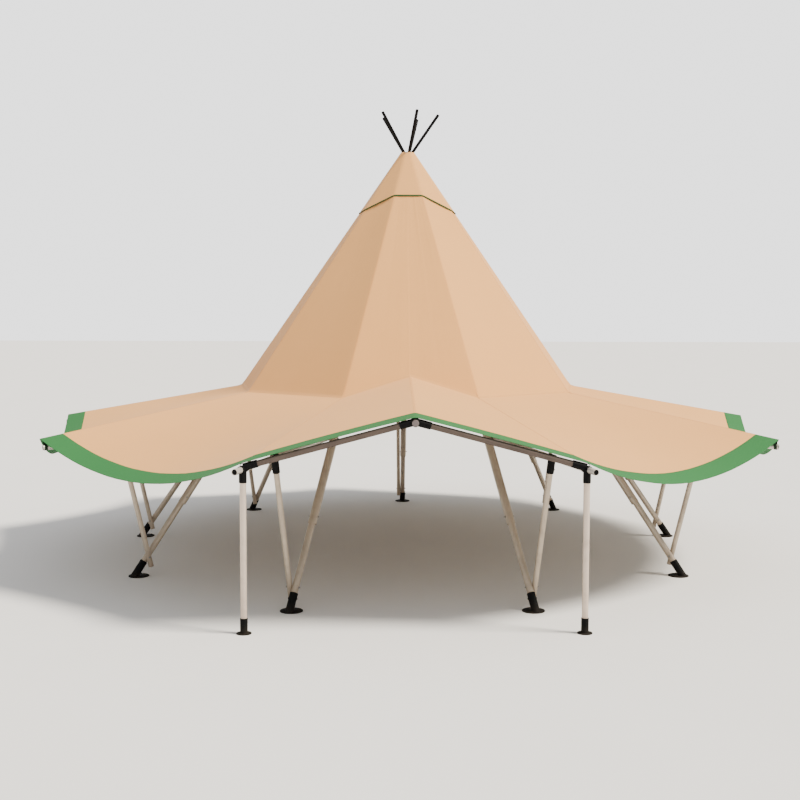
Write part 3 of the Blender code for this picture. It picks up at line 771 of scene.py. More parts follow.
for name, build, material, slot, kind in (
        ("arms", arm_tube, ARM_TUBE_PAINTED_LIGHT, "tube", "arm"), ("arm_end_plugs", arm_shade_plug, BLACK, "fitting", ""),
        ("struts", strut_tube, TUBE, "tube", "strut"),
        ("strut_tees", tee_on_arm, BLACK, "fitting", "")):
    right_hand = ring_of(build(1), material, 0, BAYS - 1)
    left_hand = ring_of(build(-1), material, BAYS - 1, 1)
    piece(name, merged(name, right_hand, left_hand), material, slot, *(bays(kind) if kind else ()))

# %% [markdown]
# ## The entrance frame
# Two posts, two rafters and a ridge tube carry the gable. The posts stand under the front arms.
# The rafters run from there up to the peak, and the ridge tube runs back from it under the cloth.

# %% Set out the entrance
POST_X, RAFTER_FOOT_Z, RAFTER_PEAK_Z, RIDGE_Z = 1.893, 1.857, 2.360, 2.356
GABLE_FRONT_Y, GABLE_PEAK_Z, GABLE_START_Z = -4.98, 2.413, 2.718
GABLE_START_Y = -FACET_SLOPE * (APEX_Z - GABLE_START_Z)


def post_top(hand):
    """Where a post meets the axis of the front arm."""
    reach = (POST_X - ARM_SIDE * math.cos(HALF_BAY)) / math.sin(HALF_BAY)
    y = -reach * math.cos(HALF_BAY) + ARM_SIDE * math.sin(HALF_BAY)
    return np.array((hand * POST_X, y, arm_point(reach, 1)[2]))


def rafter_line(hand):
    """Foot and peak of a rafter's axis, and the direction up it."""
    foot = post_top(hand)
    foot[2] = RAFTER_FOOT_Z
    peak = np.array((0, foot[1], RAFTER_PEAK_Z))
    return foot, peak, unit(peak - foot)


def ridge_point(y):
    """Point on the ridge tube's axis, parallel to the cloth above it."""
    rise = (GABLE_START_Z - GABLE_PEAK_Z) / (GABLE_START_Y - GABLE_FRONT_Y)
    return np.array((0, y, RIDGE_Z + rise * (y - post_top(1)[1])))


print("a rafter is", round(np.linalg.norm(np.subtract(*rafter_line(1)[:2])), 2), "m long")

# %% [markdown]
# Each post stands in a round foot, a socket with a rounded foot weld on a small plate. The posts
# are pale aluminium. The rafters are the same drawn tube in a brown grey, which the photograph
# shows clearly darker than every other tube; their colour is partly that brown grey and partly
# painted shade for their place under the cloth.

# %% Build the posts, their feet and the rafters
POST_RADIUS, POST_WALL, POST_BOTTOM_Z, POST_HEAD = 0.036, 0.003, 0.020, 0.065
POST_FOOT_RADIUS, POST_FOOT_HEIGHT, POST_PLATE_RADIUS = 0.0425, 0.175, 0.085
RAFTER_RADIUS, RAFTER_WALL, RAFTER_INSET = 0.035, 0.003, 0.065
POST = metal_material("post_tube", 0.50, (0.660, 0.545, 0.450), (0.530, 0.425, 0.345), 0.34, 0.30)
# Painted shade: the rafters' dark brown grey partly stands for the shade they sit in under the
# cloth.
RAFTER_TUBE_PAINTED_SHADE = metal_material("rafter_tube", 0.25, (0.098, 0.070, 0.056), (0.072, 0.052, 0.042), 0.45)
inside = POST_RADIUS + SEAT
foot_profile = [
    (0, 0), (0, POST_PLATE_RADIUS - RIM), (RIM, POST_PLATE_RADIUS), (0.007, POST_PLATE_RADIUS),
    (0.0092, POST_PLATE_RADIUS - 0.0008), (0.010, POST_PLATE_RADIUS - 0.003),
    (0.010, POST_FOOT_RADIUS + 0.004), (0.0115, POST_FOOT_RADIUS + 0.0012),
    (0.015, POST_FOOT_RADIUS), (POST_FOOT_HEIGHT - RIM, POST_FOOT_RADIUS),
    (POST_FOOT_HEIGHT, POST_FOOT_RADIUS - RIM), (POST_FOOT_HEIGHT, inside + RIM),
    (POST_FOOT_HEIGHT - RIM, inside), (POST_BOTTOM_Z - SEAT, inside), (POST_BOTTOM_Z - SEAT, 0)]
posts, feet, rafters = [], [], []
for hand in (1, -1):
    top = post_top(hand)
    base = np.array((top[0], top[1], 0))
    posts.append(tube(base + UP * POST_BOTTOM_Z, top + DOWN * POST_HEAD, POST_RADIUS, POST_WALL))
    feet.append(turned(base, UP, foot_profile, count=56))
    foot, peak, up = rafter_line(hand)
    rafters.append(tube(foot + up * RAFTER_INSET, peak - up * RAFTER_INSET, RAFTER_RADIUS,
                        RAFTER_WALL, BACK))
central("posts", posts, POST, "post", "post_right", "post_left")
central("post_feet", feet, BOOT, "boot", "post_foot_right", "post_foot_left")
central("rafters", rafters, RAFTER_TUBE_PAINTED_SHADE, "rafter", "rafter_right", "rafter_left")

# %% [markdown]
# A corner tee holds three tubes: its collar slides on the front arm, one socket takes the post
# and the other takes the rafter. They meet at odd angles, so the fitting is joined and drilled
# along the very lines that its tubes follow.

# %% Build the corner tees
FITTING_RADIUS, CORNER_HALF, RAFTER_REACH, POST_REACH = 0.043, 0.060, 0.168, 0.150
RAFTER_SOCKET_START, POST_BORE_START = 0.010, 0.045


def corner_tee(hand):
    """Fitting at the foot of a rafter."""
    top = post_top(hand)
    foot, _, up = rafter_line(hand)
    bearing = hand * HALF_BAY
    side = np.array((math.cos(bearing), math.sin(bearing), 0))
    axis = unit((math.sin(bearing), -math.cos(bearing), -ARM_DROP))
    half = axis * CORNER_HALF
    post_end, rafter_end = top + DOWN * POST_REACH, foot + up * RAFTER_REACH
    body = joined("corner_tee",
                  [rod(top - half, top + half, FITTING_RADIUS, side),
                   rod(top, post_end, FITTING_RADIUS),
                   rod(foot + up * RAFTER_SOCKET_START, rafter_end, FITTING_RADIUS, BACK)],
                  [bore_of(top - half, top + half, ARM_RADIUS + SEAT, side, both=True),
                   bore_of(top + DOWN * POST_BORE_START, post_end, POST_RADIUS + SEAT),
                   bore_of(foot + up * (RAFTER_INSET - SEAT), rafter_end, RAFTER_RADIUS + SEAT,
                           BACK)])
    welds = [saddle_weld(start, way, FITTING_RADIUS, top, axis, FITTING_RADIUS)
             for start, way in ((top, DOWN), (foot, up))]
    return merged("corner_tee", body, *welds)


piece("corner_tees", on_axis(merged("corner_tees", corner_tee(1), corner_tee(-1))), BLACK,
      "fitting", "post_tee_right", "post_tee_left")

# %% [markdown]
# At the peak one fitting holds both rafters, and its sleeve goes round the ridge tube.

# %% Build the peak fitting
RIDGE_RADIUS, RIDGE_WALL, RIDGE_FRONT, RIDGE_BACK_Y = 0.040, 0.004, 0.080, -2.200
SLEEVE_RADIUS, SLEEVE_HALF, ELBOW_START, ELBOW_REACH = 0.0465, 0.052, 0.012, 0.178
middle = post_top(1)[1]
sleeve = [ridge_point(middle + sign * SLEEVE_HALF) for sign in (-1, 1)]
ridge_axis = unit(sleeve[1] - sleeve[0])
solids = [rod(*sleeve, SLEEVE_RADIUS)]
bores = [bore_of(*sleeve, RIDGE_RADIUS + SEAT, both=True)]
welds = []
for hand in (1, -1):
    _, peak, up = rafter_line(hand)
    end = peak - up * ELBOW_REACH
    solids.append(rod(peak - up * ELBOW_START, end, FITTING_RADIUS, BACK))
    bores.append(bore_of(peak - up * (RAFTER_INSET - SEAT), end, RAFTER_RADIUS + SEAT, BACK))
    welds.append(saddle_weld(peak, -up, FITTING_RADIUS, ridge_point(middle), ridge_axis,
                             SLEEVE_RADIUS))
elbow = merged("peak_fitting", joined("peak_fitting", solids, bores), *welds)
piece("peak_fitting", on_axis(elbow), BLACK, "fitting", "peak_elbow")

# %% [markdown]
# The ridge tube runs back from the peak, parallel to the cloth above it. It ends in a flat grey
# cap in front, whose flange covers the tube's rim.

# %% Build the ridge bar and its cap
CAP_FLANGE = 0.004
END_CAP = metal_material("grey_end_cap", 0.20, (0.170, 0.140, 0.135), (0.120, 0.098, 0.095), 0.45)
front, back = ridge_point(middle - RIDGE_FRONT), ridge_point(RIDGE_BACK_Y)
ridge = tube(front + ridge_axis * CAP_FLANGE, back, RIDGE_RADIUS, RIDGE_WALL)
# The ridge tube takes the rafters' colour, with its painted shade.
central("ridge_bar", [ridge], RAFTER_TUBE_PAINTED_SHADE, "rafter", "ridge_tube")
plug = turned(front, ridge_axis, [
    (0, 0), (0, 0.030), (0.0006, 0.034), (0.002, 0.0372), (CAP_FLANGE, 0.0385),
    (CAP_FLANGE, 0.0362), (0.022, 0.0355), (0.022, 0)], count=56)
central("ridge_end_cap", [plug], END_CAP, "bolt")

# %% [markdown]
# Behind, the ridge tube rests on a cross bar between the two front legs. The bar's height is
# found by repeating a small sum: a lower bar lies further out on the leaning legs, where the
# ridge tube is lower too.

# %% Build the cross bar
CROSS_RADIUS, CROSS_WALL = 0.030, 0.003
height = GABLE_START_Z
rise = ridge_axis[2] / ridge_axis[1]
for _ in range(20):
    y = (LEG_INSET - cone_radius(height)) * math.cos(HALF_BAY)
    height = ridge_point(y)[2] - RIDGE_RADIUS * math.hypot(1, rise) - CROSS_RADIUS - SEAT
lean = CONE_SLOPE * math.sin(HALF_BAY)
beside = LEG_RADIUS / math.sqrt(1 - (lean / LEAN) ** 2) + lean * CROSS_RADIUS + SEAT
x = (cone_radius(height) - LEG_INSET) * math.sin(HALF_BAY) - beside
bar = tube((-x, y, height), (x, y, height), CROSS_RADIUS, CROSS_WALL, BACK)
central("front_cross_bar", [bar], TUBE, "tube", "cross_bar")

# %% [markdown]
# ## The crown
# The legs lean on a conical hub under the cap, and a flange on its neck carries the cap's top.
# Five short black rods stand out of it, spread like the real poles of a tipi. They are turned
# bars with a quarter-round end.

# %% Build the crown
HUB_BOTTOM_Z, HUB_TOP_Z, NECK_RADIUS, FLANGE_RADIUS, FLANGE_Z = 5.420, 5.720, 0.055, 0.128, 5.906
ROD_COUNT, ROD_RADIUS, ROD_TURN, ROD_NOSE = 5, 0.022, math.radians(-1.5), 0.010
ROD_BASE, ROD_TIP = (0.020, 5.900), (0.460, 6.535)
CROWN = coat_material("black_crown_coat", (0.0035, 0.0035, 0.0037), (0.014, 0.014, 0.014), 0.2)


def hub_radius(height):
    """Radius of the hub's skin, which touches the legs."""
    return cone_radius(height) - LEG_INSET - LEG_RADIUS * LEAN - SEAT


def crown_rod(number):
    """One of the rods, with a rounded tip."""
    angle = 2 * math.pi * number / ROD_COUNT + ROD_TURN
    outward = np.array((math.cos(angle), math.sin(angle), 0))
    base, tip = [outward * radius + UP * height for radius, height in (ROD_BASE, ROD_TIP)]
    length = np.linalg.norm(tip - base)
    nose = [(length - ROD_NOSE + ROD_NOSE * math.sin(a),
             ROD_RADIUS - ROD_NOSE + ROD_NOSE * math.cos(a))
            for a in np.linspace(0, math.pi / 2, 7)]
    return turned(base, tip - base, [(0, 0), (0, ROD_RADIUS), *nose, (length, 0)],
                  np.cross(UP, outward), 32)


hub = turned((0, 0, 0), UP, [
    (HUB_TOP_Z - 0.006, 0), (HUB_TOP_Z - 0.006, hub_radius(HUB_TOP_Z) - 0.006),
    (HUB_BOTTOM_Z, hub_radius(HUB_BOTTOM_Z) - 0.0075),
    (HUB_BOTTOM_Z, hub_radius(HUB_BOTTOM_Z) - RIM),
    (HUB_BOTTOM_Z + RIM, hub_radius(HUB_BOTTOM_Z + RIM)),
    (HUB_TOP_Z - RIM, hub_radius(HUB_TOP_Z - RIM)), (HUB_TOP_Z, hub_radius(HUB_TOP_Z) - RIM),
    (HUB_TOP_Z, NECK_RADIUS + 0.006), (HUB_TOP_Z + 0.006, NECK_RADIUS), (FLANGE_Z, NECK_RADIUS),
    (FLANGE_Z, FLANGE_RADIUS - RIM), (FLANGE_Z + RIM, FLANGE_RADIUS),
    (FLANGE_Z + 0.008, FLANGE_RADIUS), (FLANGE_Z + 0.010, FLANGE_RADIUS - 0.002),
    (FLANGE_Z + 0.010, 0.062), (FLANGE_Z + 0.022, 0.056), (FLANGE_Z + 0.030, 0.044),
    (FLANGE_Z + 0.034, 0.0)], count=64)
rods = [crown_rod(number) for number in range(ROD_COUNT)]
central("crown_hub_and_rods", [hub, *rods], CROWN, "crown", "crown")

# %% [markdown]
# ## One continuous sheet of canvas
# The roof is sewn from gores into one sheet. It is stretched flat between the legs, folds at the
# foot of the cone, and then sags between the tips of the brim. A cloth simulation of a sheet this
# wide would wander from the photograph, so the sheet is drawn by rule. Straight lines run down
# its ten corners, the nine legs and the entrance's ridge: from the top to the fold, and on to
# the edge.

# %% Set out the corners of the cloth
CONE_TOP_Z, FOLD_Z, TIP_Z, EAVE_X, EAVE_Z = 5.900, 2.445, 1.941, 1.890, 1.913
top = [around(cone_radius(CONE_TOP_Z), bearing, CONE_TOP_Z) for bearing in BEARINGS]
fold = [around(cone_radius(FOLD_Z), bearing, FOLD_Z) for bearing in BEARINGS]
tips = [around(TIP_RADIUS, bearing, TIP_Z) for bearing in BEARINGS]
tips[0], tips[-1] = [np.array((sign * EAVE_X, GABLE_FRONT_Y, EAVE_Z)) for sign in (1, -1)]
TOP_RING = np.array([*top, (top[0] + top[-1]) / 2])
FOLD_RING = np.array([*fold, (0, GABLE_START_Y, GABLE_START_Z)])
EDGE_RING = np.array([*tips, (0, GABLE_FRONT_Y, GABLE_PEAK_Z)])
SIDES, FIRST_GABLE_SIDE = len(FOLD_RING), BAYS - 1


def corner_line(corner, down):
    """Point on a corner's line. down runs from -1 at the top, through 0 at the fold, to 1."""
    corner = corner % SIDES
    share = np.abs(down)[..., None]
    far = np.where(down[..., None] < 0, TOP_RING[corner], EDGE_RING[corner])
    return FOLD_RING[corner] + (far - FOLD_RING[corner]) * share


print("the cloth's peak over the entrance:", FOLD_RING[-1].round(3))

# %% [markdown]
# Between two corners the cone is flat, and the brim sags more and more towards its edge. The
# gable's two halves are flat, because the rafters hold them.

# %% Stretch the cloth between its corners
BRIM_SAG, SAG_POWER = 0.39, 1.3


def side_width(side, down):
    """Width of a side of the cloth, from corner to corner."""
    return np.linalg.norm(corner_line(side + 1, down) - corner_line(side, down), axis=-1)


def sharp_cloth(side, across, down):
    """The cloth before its corners are rounded."""
    start, end = corner_line(side, down), corner_line(side + 1, down)
    point = start + (end - start) * across[..., None]
    sag = BRIM_SAG * 4 * across * (1 - across) * np.clip(down, 0, None) ** SAG_POWER
    point[..., 2] -= np.where(side % SIDES < FIRST_GABLE_SIDE, sag, 0)
    return point


# %% [markdown]
# Cloth can't turn a sharp corner over a round tube. A quadratic Bezier curve replaces each
# corner: it leaves one flat side, heads for the sharp corner and lands on the next side. The fold
# under the cone is rounded in the same way, down the cloth instead of across it.

# %% Round the corners and the fold
CORNER_REACH, FOLD_UP, FOLD_DOWN = 0.032, 0.012, 0.017


def corner_reach(side, down):
    """Share of a side over which its corners are rounded."""
    width = side_width(side, down)
    return np.minimum(CORNER_REACH, 0.3 * width) / width


def bezier(a, b, c, t):
    """Point on a quadratic Bezier curve."""
    t = t[..., None]
    return a * (1 - t) ** 2 + 2 * b * t * (1 - t) + c * t ** 2


def rounded_cloth(side, across, down):
    """The cloth with its corners rounded over the legs."""
    point = sharp_cloth(side, across, down)
    reach = corner_reach(side, down)
    for corner, near, share in ((side, across < reach, across / reach),
                                (side + 1, across > 1 - reach, -(1 - across) / reach)):
        before = sharp_cloth(corner - 1, 1 - corner_reach(corner - 1, down), down)
        after = sharp_cloth(corner, corner_reach(corner, down), down)
        curve = bezier(before, sharp_cloth(corner, np.zeros_like(across), down), after,
                       np.clip(0.5 + 0.5 * share, 0, 1))
        point = np.where(near[..., None], curve, point)
    return point


def smooth_cloth(side, across, down):
    """The cloth with its corners and its fold rounded."""
    point = rounded_cloth(side, across, down)
    ends = [rounded_cloth(side, across, np.full_like(across, place))
            for place in (-FOLD_UP, 0, FOLD_DOWN)]
    share = np.clip((down + FOLD_UP) / (FOLD_UP + FOLD_DOWN), 0, 1)
    at_fold = (down > -FOLD_UP) & (down < FOLD_DOWN)
    return np.where(at_fold[..., None], bezier(*ends, share), point)


# %% [markdown]
# Stretched canvas is never quite even. Slow and fine ripples come from Blender's noise, which
# gives the same value at the same place every time. They die out towards the corners, and on
# the brim towards the fold. Everything is moved along the cloth's own normal.

# %% Lift the cloth off its smooth shape
def cloth_normal(side, across, down):
    """Direction out of the cloth's upper face."""
    step, fall_step = 0.004, 0.003
    low, high = np.clip(across - step, 0, 1), np.clip(across + step, 0, 1)
    along = smooth_cloth(side, high, down) - smooth_cloth(side, low, down)
    at_corner = (across < step) | (across > 1 - step)
    corner = np.where(across < 0.5, side, side + 1)
    spread = (smooth_cloth(corner, np.full_like(across, step), down)
              - smooth_cloth(corner - 1, np.full_like(across, 1 - step), down))
    along = np.where(at_corner[..., None], spread, along)
    fall = (smooth_cloth(side, across, np.clip(down + fall_step, -1, 1))
            - smooth_cloth(side, across, np.clip(down - fall_step, -1, 1)))
    return unit(np.cross(fall, along))


HOLLOW, BILLOW, SLOW_RIPPLE, FINE_RIPPLE = 0.010, 0.009, 0.010, 0.006
CONE_LOOSENESS, GABLE_LOOSENESS = 0.4, 0.25


def ripple(side, across, down):
    """How far the cloth stands off its smooth shape, in metres."""
    on_cone, gable_side = down < 0, side % SIDES - FIRST_GABLE_SIDE
    wide = np.where(gable_side < 0, across, (np.clip(gable_side, 0, 1) + across) / 2)
    hump = np.where(on_cone, np.sin(math.pi * wide), np.sin(math.pi * across))
    hollow = -HOLLOW * hump * np.sin(math.pi * np.clip(-down, 0, 1))
    slow, fine = np.empty(side.shape), np.empty(side.shape)
    for place in np.ndindex(side.shape):
        k, a, d = int(side[place] % SIDES), across[place], down[place]
        slow[place] = noise.noise((k * 5.3 + 2.2 * a, 1.6 * d, 0.4))
        fine[place] = noise.noise((k * 9.1 + 9.0 * a, 1.1 * d, 7.7))
    loose = np.clip(hump, 0, 1) * np.where(on_cone, CONE_LOOSENESS, np.clip(down * 3, 0, 1))
    on_gable = (gable_side >= 0) & (down > 0)
    height = np.where(on_gable, BILLOW * hump * down, np.where(on_cone, hollow, 0.0))
    return height + (loose * np.where(on_gable, GABLE_LOOSENESS, 1.0)
                     * (SLOW_RIPPLE * slow + FINE_RIPPLE * fine))


def cloth(side, across, down, lift):
    """Points of the finished cloth, lifted off its middle along the normal."""
    point = smooth_cloth(side, across, down)
    height = ripple(side, across, down) + lift
    return point + cloth_normal(side, across, down) * height[..., None]


# %% [markdown]
# The surface is sampled in rows and columns. The columns crowd at the corners, where the cloth
# bends over a tube. Each is kept as a side, a kind and a share: kind 0 is the rounded corner at
# the side's start, 1 the flat between and 2 the corner at its end. The UV map is in metres, so
# the weave has one size all over the sheet.

# %% Sample the surface
PANEL_COLUMNS = 22
one_side = [(0, 0.0), (0, 0.33), (0, 0.66),
            *[(1, k / PANEL_COLUMNS) for k in range(PANEL_COLUMNS + 1)], (2, 0.66), (2, 0.33)]
COLUMNS = np.array([(side, *place) for side in range(SIDES) for place in one_side]
                   + [(SIDES, 0, 0.0)])
COLUMN_SIDE, COLUMN_KIND, COLUMN_SHARE = COLUMNS[:, 0].astype(int), COLUMNS[:, 1], COLUMNS[:, 2]


def sample(down, lift):
    """Rows of points on the cloth. down gives each row's place, or each of its points'."""
    down = np.broadcast_to(down, (len(down), len(COLUMNS)))
    side = np.broadcast_to(COLUMN_SIDE, down.shape)
    reach = corner_reach(side, down)
    flat_share = reach + COLUMN_SHARE * (1 - 2 * reach)
    across = np.where(COLUMN_KIND == 0, COLUMN_SHARE * reach,
                      np.where(COLUMN_KIND == 1, flat_share, 1 - COLUMN_SHARE * reach))
    return cloth(side, across, down, np.broadcast_to(lift, down.shape))


def cloth_uvs(rows):
    """UV map in metres: along the columns, and round the canopy at the fold's width."""
    fall = np.linalg.norm(np.diff(rows, axis=0), axis=-1)
    run = np.concatenate((np.zeros((1, rows.shape[1])), np.cumsum(fall, 0)))
    wide = np.linalg.norm(np.diff(rows, axis=1), axis=-1).max(0)
    girth = np.concatenate(([0], np.cumsum(wide)))
    return np.stack((np.broadcast_to(girth, run.shape), run), -1)


def closed(rows):
    """Grid closed onto its first row, with its UV map."""
    rows = np.concatenate((rows, rows[:1]))
    return rows, cloth_uvs(rows)


print("the sheet has", len(COLUMNS), "columns")

# %% [markdown]
# The border keeps one width along the edge, which isn't one share of the brim's length. So each
# column gets its own places for the border's inner line and for the hem.

# %% Find the border's inner line
BORDER_WIDTHS = np.array((0.255, *[0.290] * 7, 0.255, 0.272))
HEM_WIDTH, CORNER_SHARE = 0.004, 0.008


def edge_share(side, across, width):
    """Where a line at a width from the edge crosses, as a share of the brim."""
    nearby, whole = 0.1, np.full_like(across, 1.0)
    step = np.where(across > 0.5, -0.01, 0.01)
    along = sharp_cloth(side, across + step, whole) - sharp_cloth(side, across, whole)
    fall = (sharp_cloth(side, across, whole)
            - sharp_cloth(side, across, np.full_like(across, 1 - nearby)))
    length = np.linalg.norm(fall, axis=-1)
    slant = (np.linalg.norm(np.cross(along, fall), axis=-1)
             / (np.linalg.norm(along, axis=-1) * length))
    return 1 - nearby * width / (slant * length)


column_across = np.where(COLUMN_KIND == 1, COLUMN_SHARE,
                         np.where(COLUMN_KIND == 0, COLUMN_SHARE * CORNER_SHARE,
                                  1 - COLUMN_SHARE * CORNER_SHARE))
border_width = (BORDER_WIDTHS[COLUMN_SIDE % SIDES] * (1 - column_across)
                + BORDER_WIDTHS[(COLUMN_SIDE + 1) % SIDES] * column_across)


def columns_at(width):
    """Place down every column of a line at a width from the edge."""
    return edge_share(COLUMN_SIDE, column_across, width)


BORDER_AT, HEM_AT = columns_at(border_width), columns_at(HEM_WIDTH)
print("the border starts at", BORDER_AT.min().round(3), "to", BORDER_AT.max().round(3),
      "of the way down the brim")

# %% [markdown]
# The upper and under faces are 1.6 mm apart and meet at both edges, so the sheet is one
# closed body of cloth with an even thickness. Faces that look down are marked as inner, and the
# canvas shows a darker grey on them as painted shade.

# %% Build the sheet
UPPER, UNDER = -0.0008, -0.0024
CONE_ROWS, FOLD_ROWS, BRIM_ROWS, HEM_ROWS = 44, 6, 26, 7


def between(start, end, shares):
    """Rows at some shares of the way from one row to another."""
    return start + np.asarray(shares)[:, None] * (end - start)


def two_faced(upper, under):
    """Closed sheet from its two faces, with the same UV map on both."""
    uvs = cloth_uvs(upper)
    return [np.concatenate((face, back[::-1], face[:1]))
            for face, back in ((upper, under), (uvs, uvs))]


def grid_area(rows):
    """Area of a grid of points, in square metres."""
    a, b, c, d = rows[:-1, :-1], rows[:-1, 1:], rows[1:, 1:], rows[1:, :-1]
    return 0.5 * np.linalg.norm(np.cross(c - a, d - b), axis=-1).sum()


level_rows = np.concatenate((np.linspace(-1, -FOLD_UP, CONE_ROWS),
                             np.linspace(-FOLD_UP, FOLD_DOWN, FOLD_ROWS + 1)[1:]))
down_rows = np.concatenate((
    level_rows[:, None] * np.ones(len(COLUMNS)),
    between(FOLD_DOWN, BORDER_AT, np.linspace(0, 1, BRIM_ROWS)[1:]),
    between(BORDER_AT, HEM_AT, np.linspace(0, 1, HEM_ROWS + 1)[1:])))
upper_face, under_face = sample(down_rows, UPPER), sample(down_rows, UNDER)
sheet_mesh = on_axis(mesh_of("canopy_cloth", two_faced(upper_face, under_face), sharp=60))
inner = sheet_mesh.attributes.new("inner", "FLOAT", "FACE")
inner.data.foreach_set("value", [float(face.normal.z < 0) for face in sheet_mesh.polygons])
panels = ["canopy_panel_" + name for name in
          ("front", "right_front", "right", "right_rear", "rear_right", "rear_left", "left_rear",
           "left", "left_front")]
canopy = piece("canopy_cloth", sheet_mesh, CANVAS, "canvas", "canopy_brim", "canopy_gable",
               *panels, sharp=60)

# %% [markdown]
# ## The green border
# A coloured band of coated cloth is folded over the edge of the canvas and sewn through. It is a
# closed band that wraps the edge, one millimetre proud of the canvas on both faces, with its
# corners mitred at the tips because its inner line keeps the same distance from every edge.

# %% Build the border
BORDER_CLOTH = cloth_material("green_border_cloth", (0.030, 0.165, 0.046), (0.022, 0.135, 0.036),
                              1600, 0.35, 0.03)
BAND, NEAR_EDGE = 0.0012, 0.9997
band_down = between(BORDER_AT, HEM_AT, (0.0, 0.006, 0.15, 0.35, 0.55, 0.75, 0.95, 1.0))
proud = np.array((0.0003, *[BAND] * 7))[:, None]
upper_band, under_band = sample(band_down, UPPER + proud), sample(band_down, UNDER - proud)
round_edge = [sample(np.array([[down]]), lift) for down, lift in (
    (NEAR_EDGE, UPPER + BAND * 0.5), (1.0, (UPPER + UNDER) / 2), (NEAR_EDGE, UNDER - BAND * 0.5))]
band = closed(np.concatenate((upper_band, *round_edge, under_band[::-1])))
border = central("canopy_border", [band], BORDER_CLOTH, "border", sharp=60)
print("border band: %.1f square metres on each face" % grid_area(upper_band))

# %% [markdown]
# ## Seams
# The gores are joined by flat seams over the legs, along the entrance's ridge and round the fold.
# Each is a strip 26 mm wide and a millimetre proud, with its edges tucked into the canvas. Two
# lines along every seam are kept for its stitches.

# %% Build the seam strips
SEAM_CANVAS = cloth_material("tan_seam_canvas", (0.766, 0.380, 0.122), (0.667, 0.315, 0.092),
                             1400, 0.3)
STRIP = np.array((-0.013, -0.0125, -0.006, 0.0, 0.006, 0.0125, 0.013))
STRIP_LIFT = np.array((-0.0006, 0.0009, 0.0010, 0.0010, 0.0010, 0.0009, -0.0006))
STITCH_OFFSETS, STITCH_LIFTS = (-0.009, 0.009), (0.0010, 0.0110)
FOLD_TO_TOP, FOLD_TO_EDGE, FOLD_LIFT = 4.24, 2.94, 0.0002
LEG_SEAM_TOP, RIDGE_SEAM_TOP, UNDER_BORDER = -0.97, 0.004, 0.002


def seam_rows(corner, start, end, offsets, lifts, count):
    """Rows of points on a seam over a corner, at offsets in metres beside its line."""
    down = np.repeat(np.linspace(start, end, count)[:, None], len(offsets), 1)
    offset = np.broadcast_to(offsets, down.shape)
    side = np.where(offset < 0, corner - 1, corner)
    share = np.abs(offset) / side_width(side, down)
    across = np.where(offset < 0, 1 - share, share)
    return cloth(side, across, down, np.broadcast_to(UPPER + lifts, down.shape))


def closed_strip(rows):
    """Close a strip under itself and at its ends."""
    loop = np.concatenate((rows, rows[:, :1]), 1)
    ends = [np.repeat(loop[k].mean(0)[None], loop.shape[1], 0)[None] for k in (0, -1)]
    loop = np.concatenate((ends[0], loop, ends[1]))
    return loop, cloth_uvs(loop)


def fold_row(offset, lift):
    """Row of points along the fold, some metres up or down the cloth."""
    reach = FOLD_TO_TOP if offset < 0 else FOLD_TO_EDGE
    return sample(np.array([[offset / reach]]), UPPER + lift + FOLD_LIFT)[0]


seams, seam_lines = [], []
for corner in range(SIDES):
    start, count = (LEG_SEAM_TOP, 80) if corner < BAYS else (RIDGE_SEAM_TOP, 40)
    end = edge_share(np.array([corner]), np.array([0.0]), BORDER_WIDTHS[corner] - UNDER_BORDER)[0]
    seams.append(closed_strip(seam_rows(corner, start, end, STRIP, STRIP_LIFT, count)))
    for offset in STITCH_OFFSETS:
        seam_lines.append([seam_rows(corner, start, end, [offset], lift, 3 * count)[:, 0]
                           for lift in STITCH_LIFTS])
fold_strip = [fold_row(offset, lift) for offset, lift in zip(STRIP, STRIP_LIFT)]
seams.append(closed(np.array(fold_strip)))
for offset in STITCH_OFFSETS:
    seam_lines.append([fold_row(offset, lift) for lift in STITCH_LIFTS])
seam_piece = central("canopy_seams", seams, SEAM_CANVAS, "canvas", sharp=50)

# %% [markdown]
# ## Stitches
# Thousands of stitches are far too many to model by hand. A Geometry Nodes tree turns each line
# into a curve, spaces points along it and sets a small block on each. The block's length follows
# the line, and its top follows the direction stored with the points as an attribute, which is
# out of the cloth.

# %% Make the stitch tree
STITCH, given, out = geometry_tree("stitch_row", Pitch="Float", Length="Float", Width="Float",
                                   Height="Float")
line = node(STITCH, "GeometryNodeMeshToCurve", {"Mesh": given["Geometry"]})
spaced = node(STITCH, "GeometryNodeResampleCurve", {"Curve": line, "Length": given["Pitch"]},
              mode="LENGTH")
lift = node(STITCH, "GeometryNodeInputNamedAttribute", {"Name": "lift"},
            data_type="FLOAT_VECTOR")
way = node(STITCH, "FunctionNodeAxesToRotation",
           {"Primary Axis": lift, "Secondary Axis": node(STITCH, "GeometryNodeInputTangent")},
           primary_axis="Z", secondary_axis="X")
size = joined_xyz(STITCH, X=given["Length"], Y=given["Width"], Z=given["Height"])
laid = node(STITCH, "GeometryNodeInstanceOnPoints",
            {"Points": spaced, "Instance": node(STITCH, "GeometryNodeMeshCube", {"Size": size}),
             "Rotation": way})
finish_tree(STITCH, laid, given, out)
print("stitch tree:", len(STITCH.nodes), "nodes")

# %% [markdown]
# The seams are sewn in the canvas's own colour and the border in green: twice along its inner
# line, and once near the edge.

# %% Sew the seams and the border
CANVAS_THREAD = cloth_material("tan_thread", (0.629, 0.316, 0.108), (0.511, 0.241, 0.077), 3000,
                               0.3)
GREEN_THREAD = cloth_material("green_thread", (0.026, 0.140, 0.040), (0.018, 0.110, 0.030), 3000,
                              0.3)


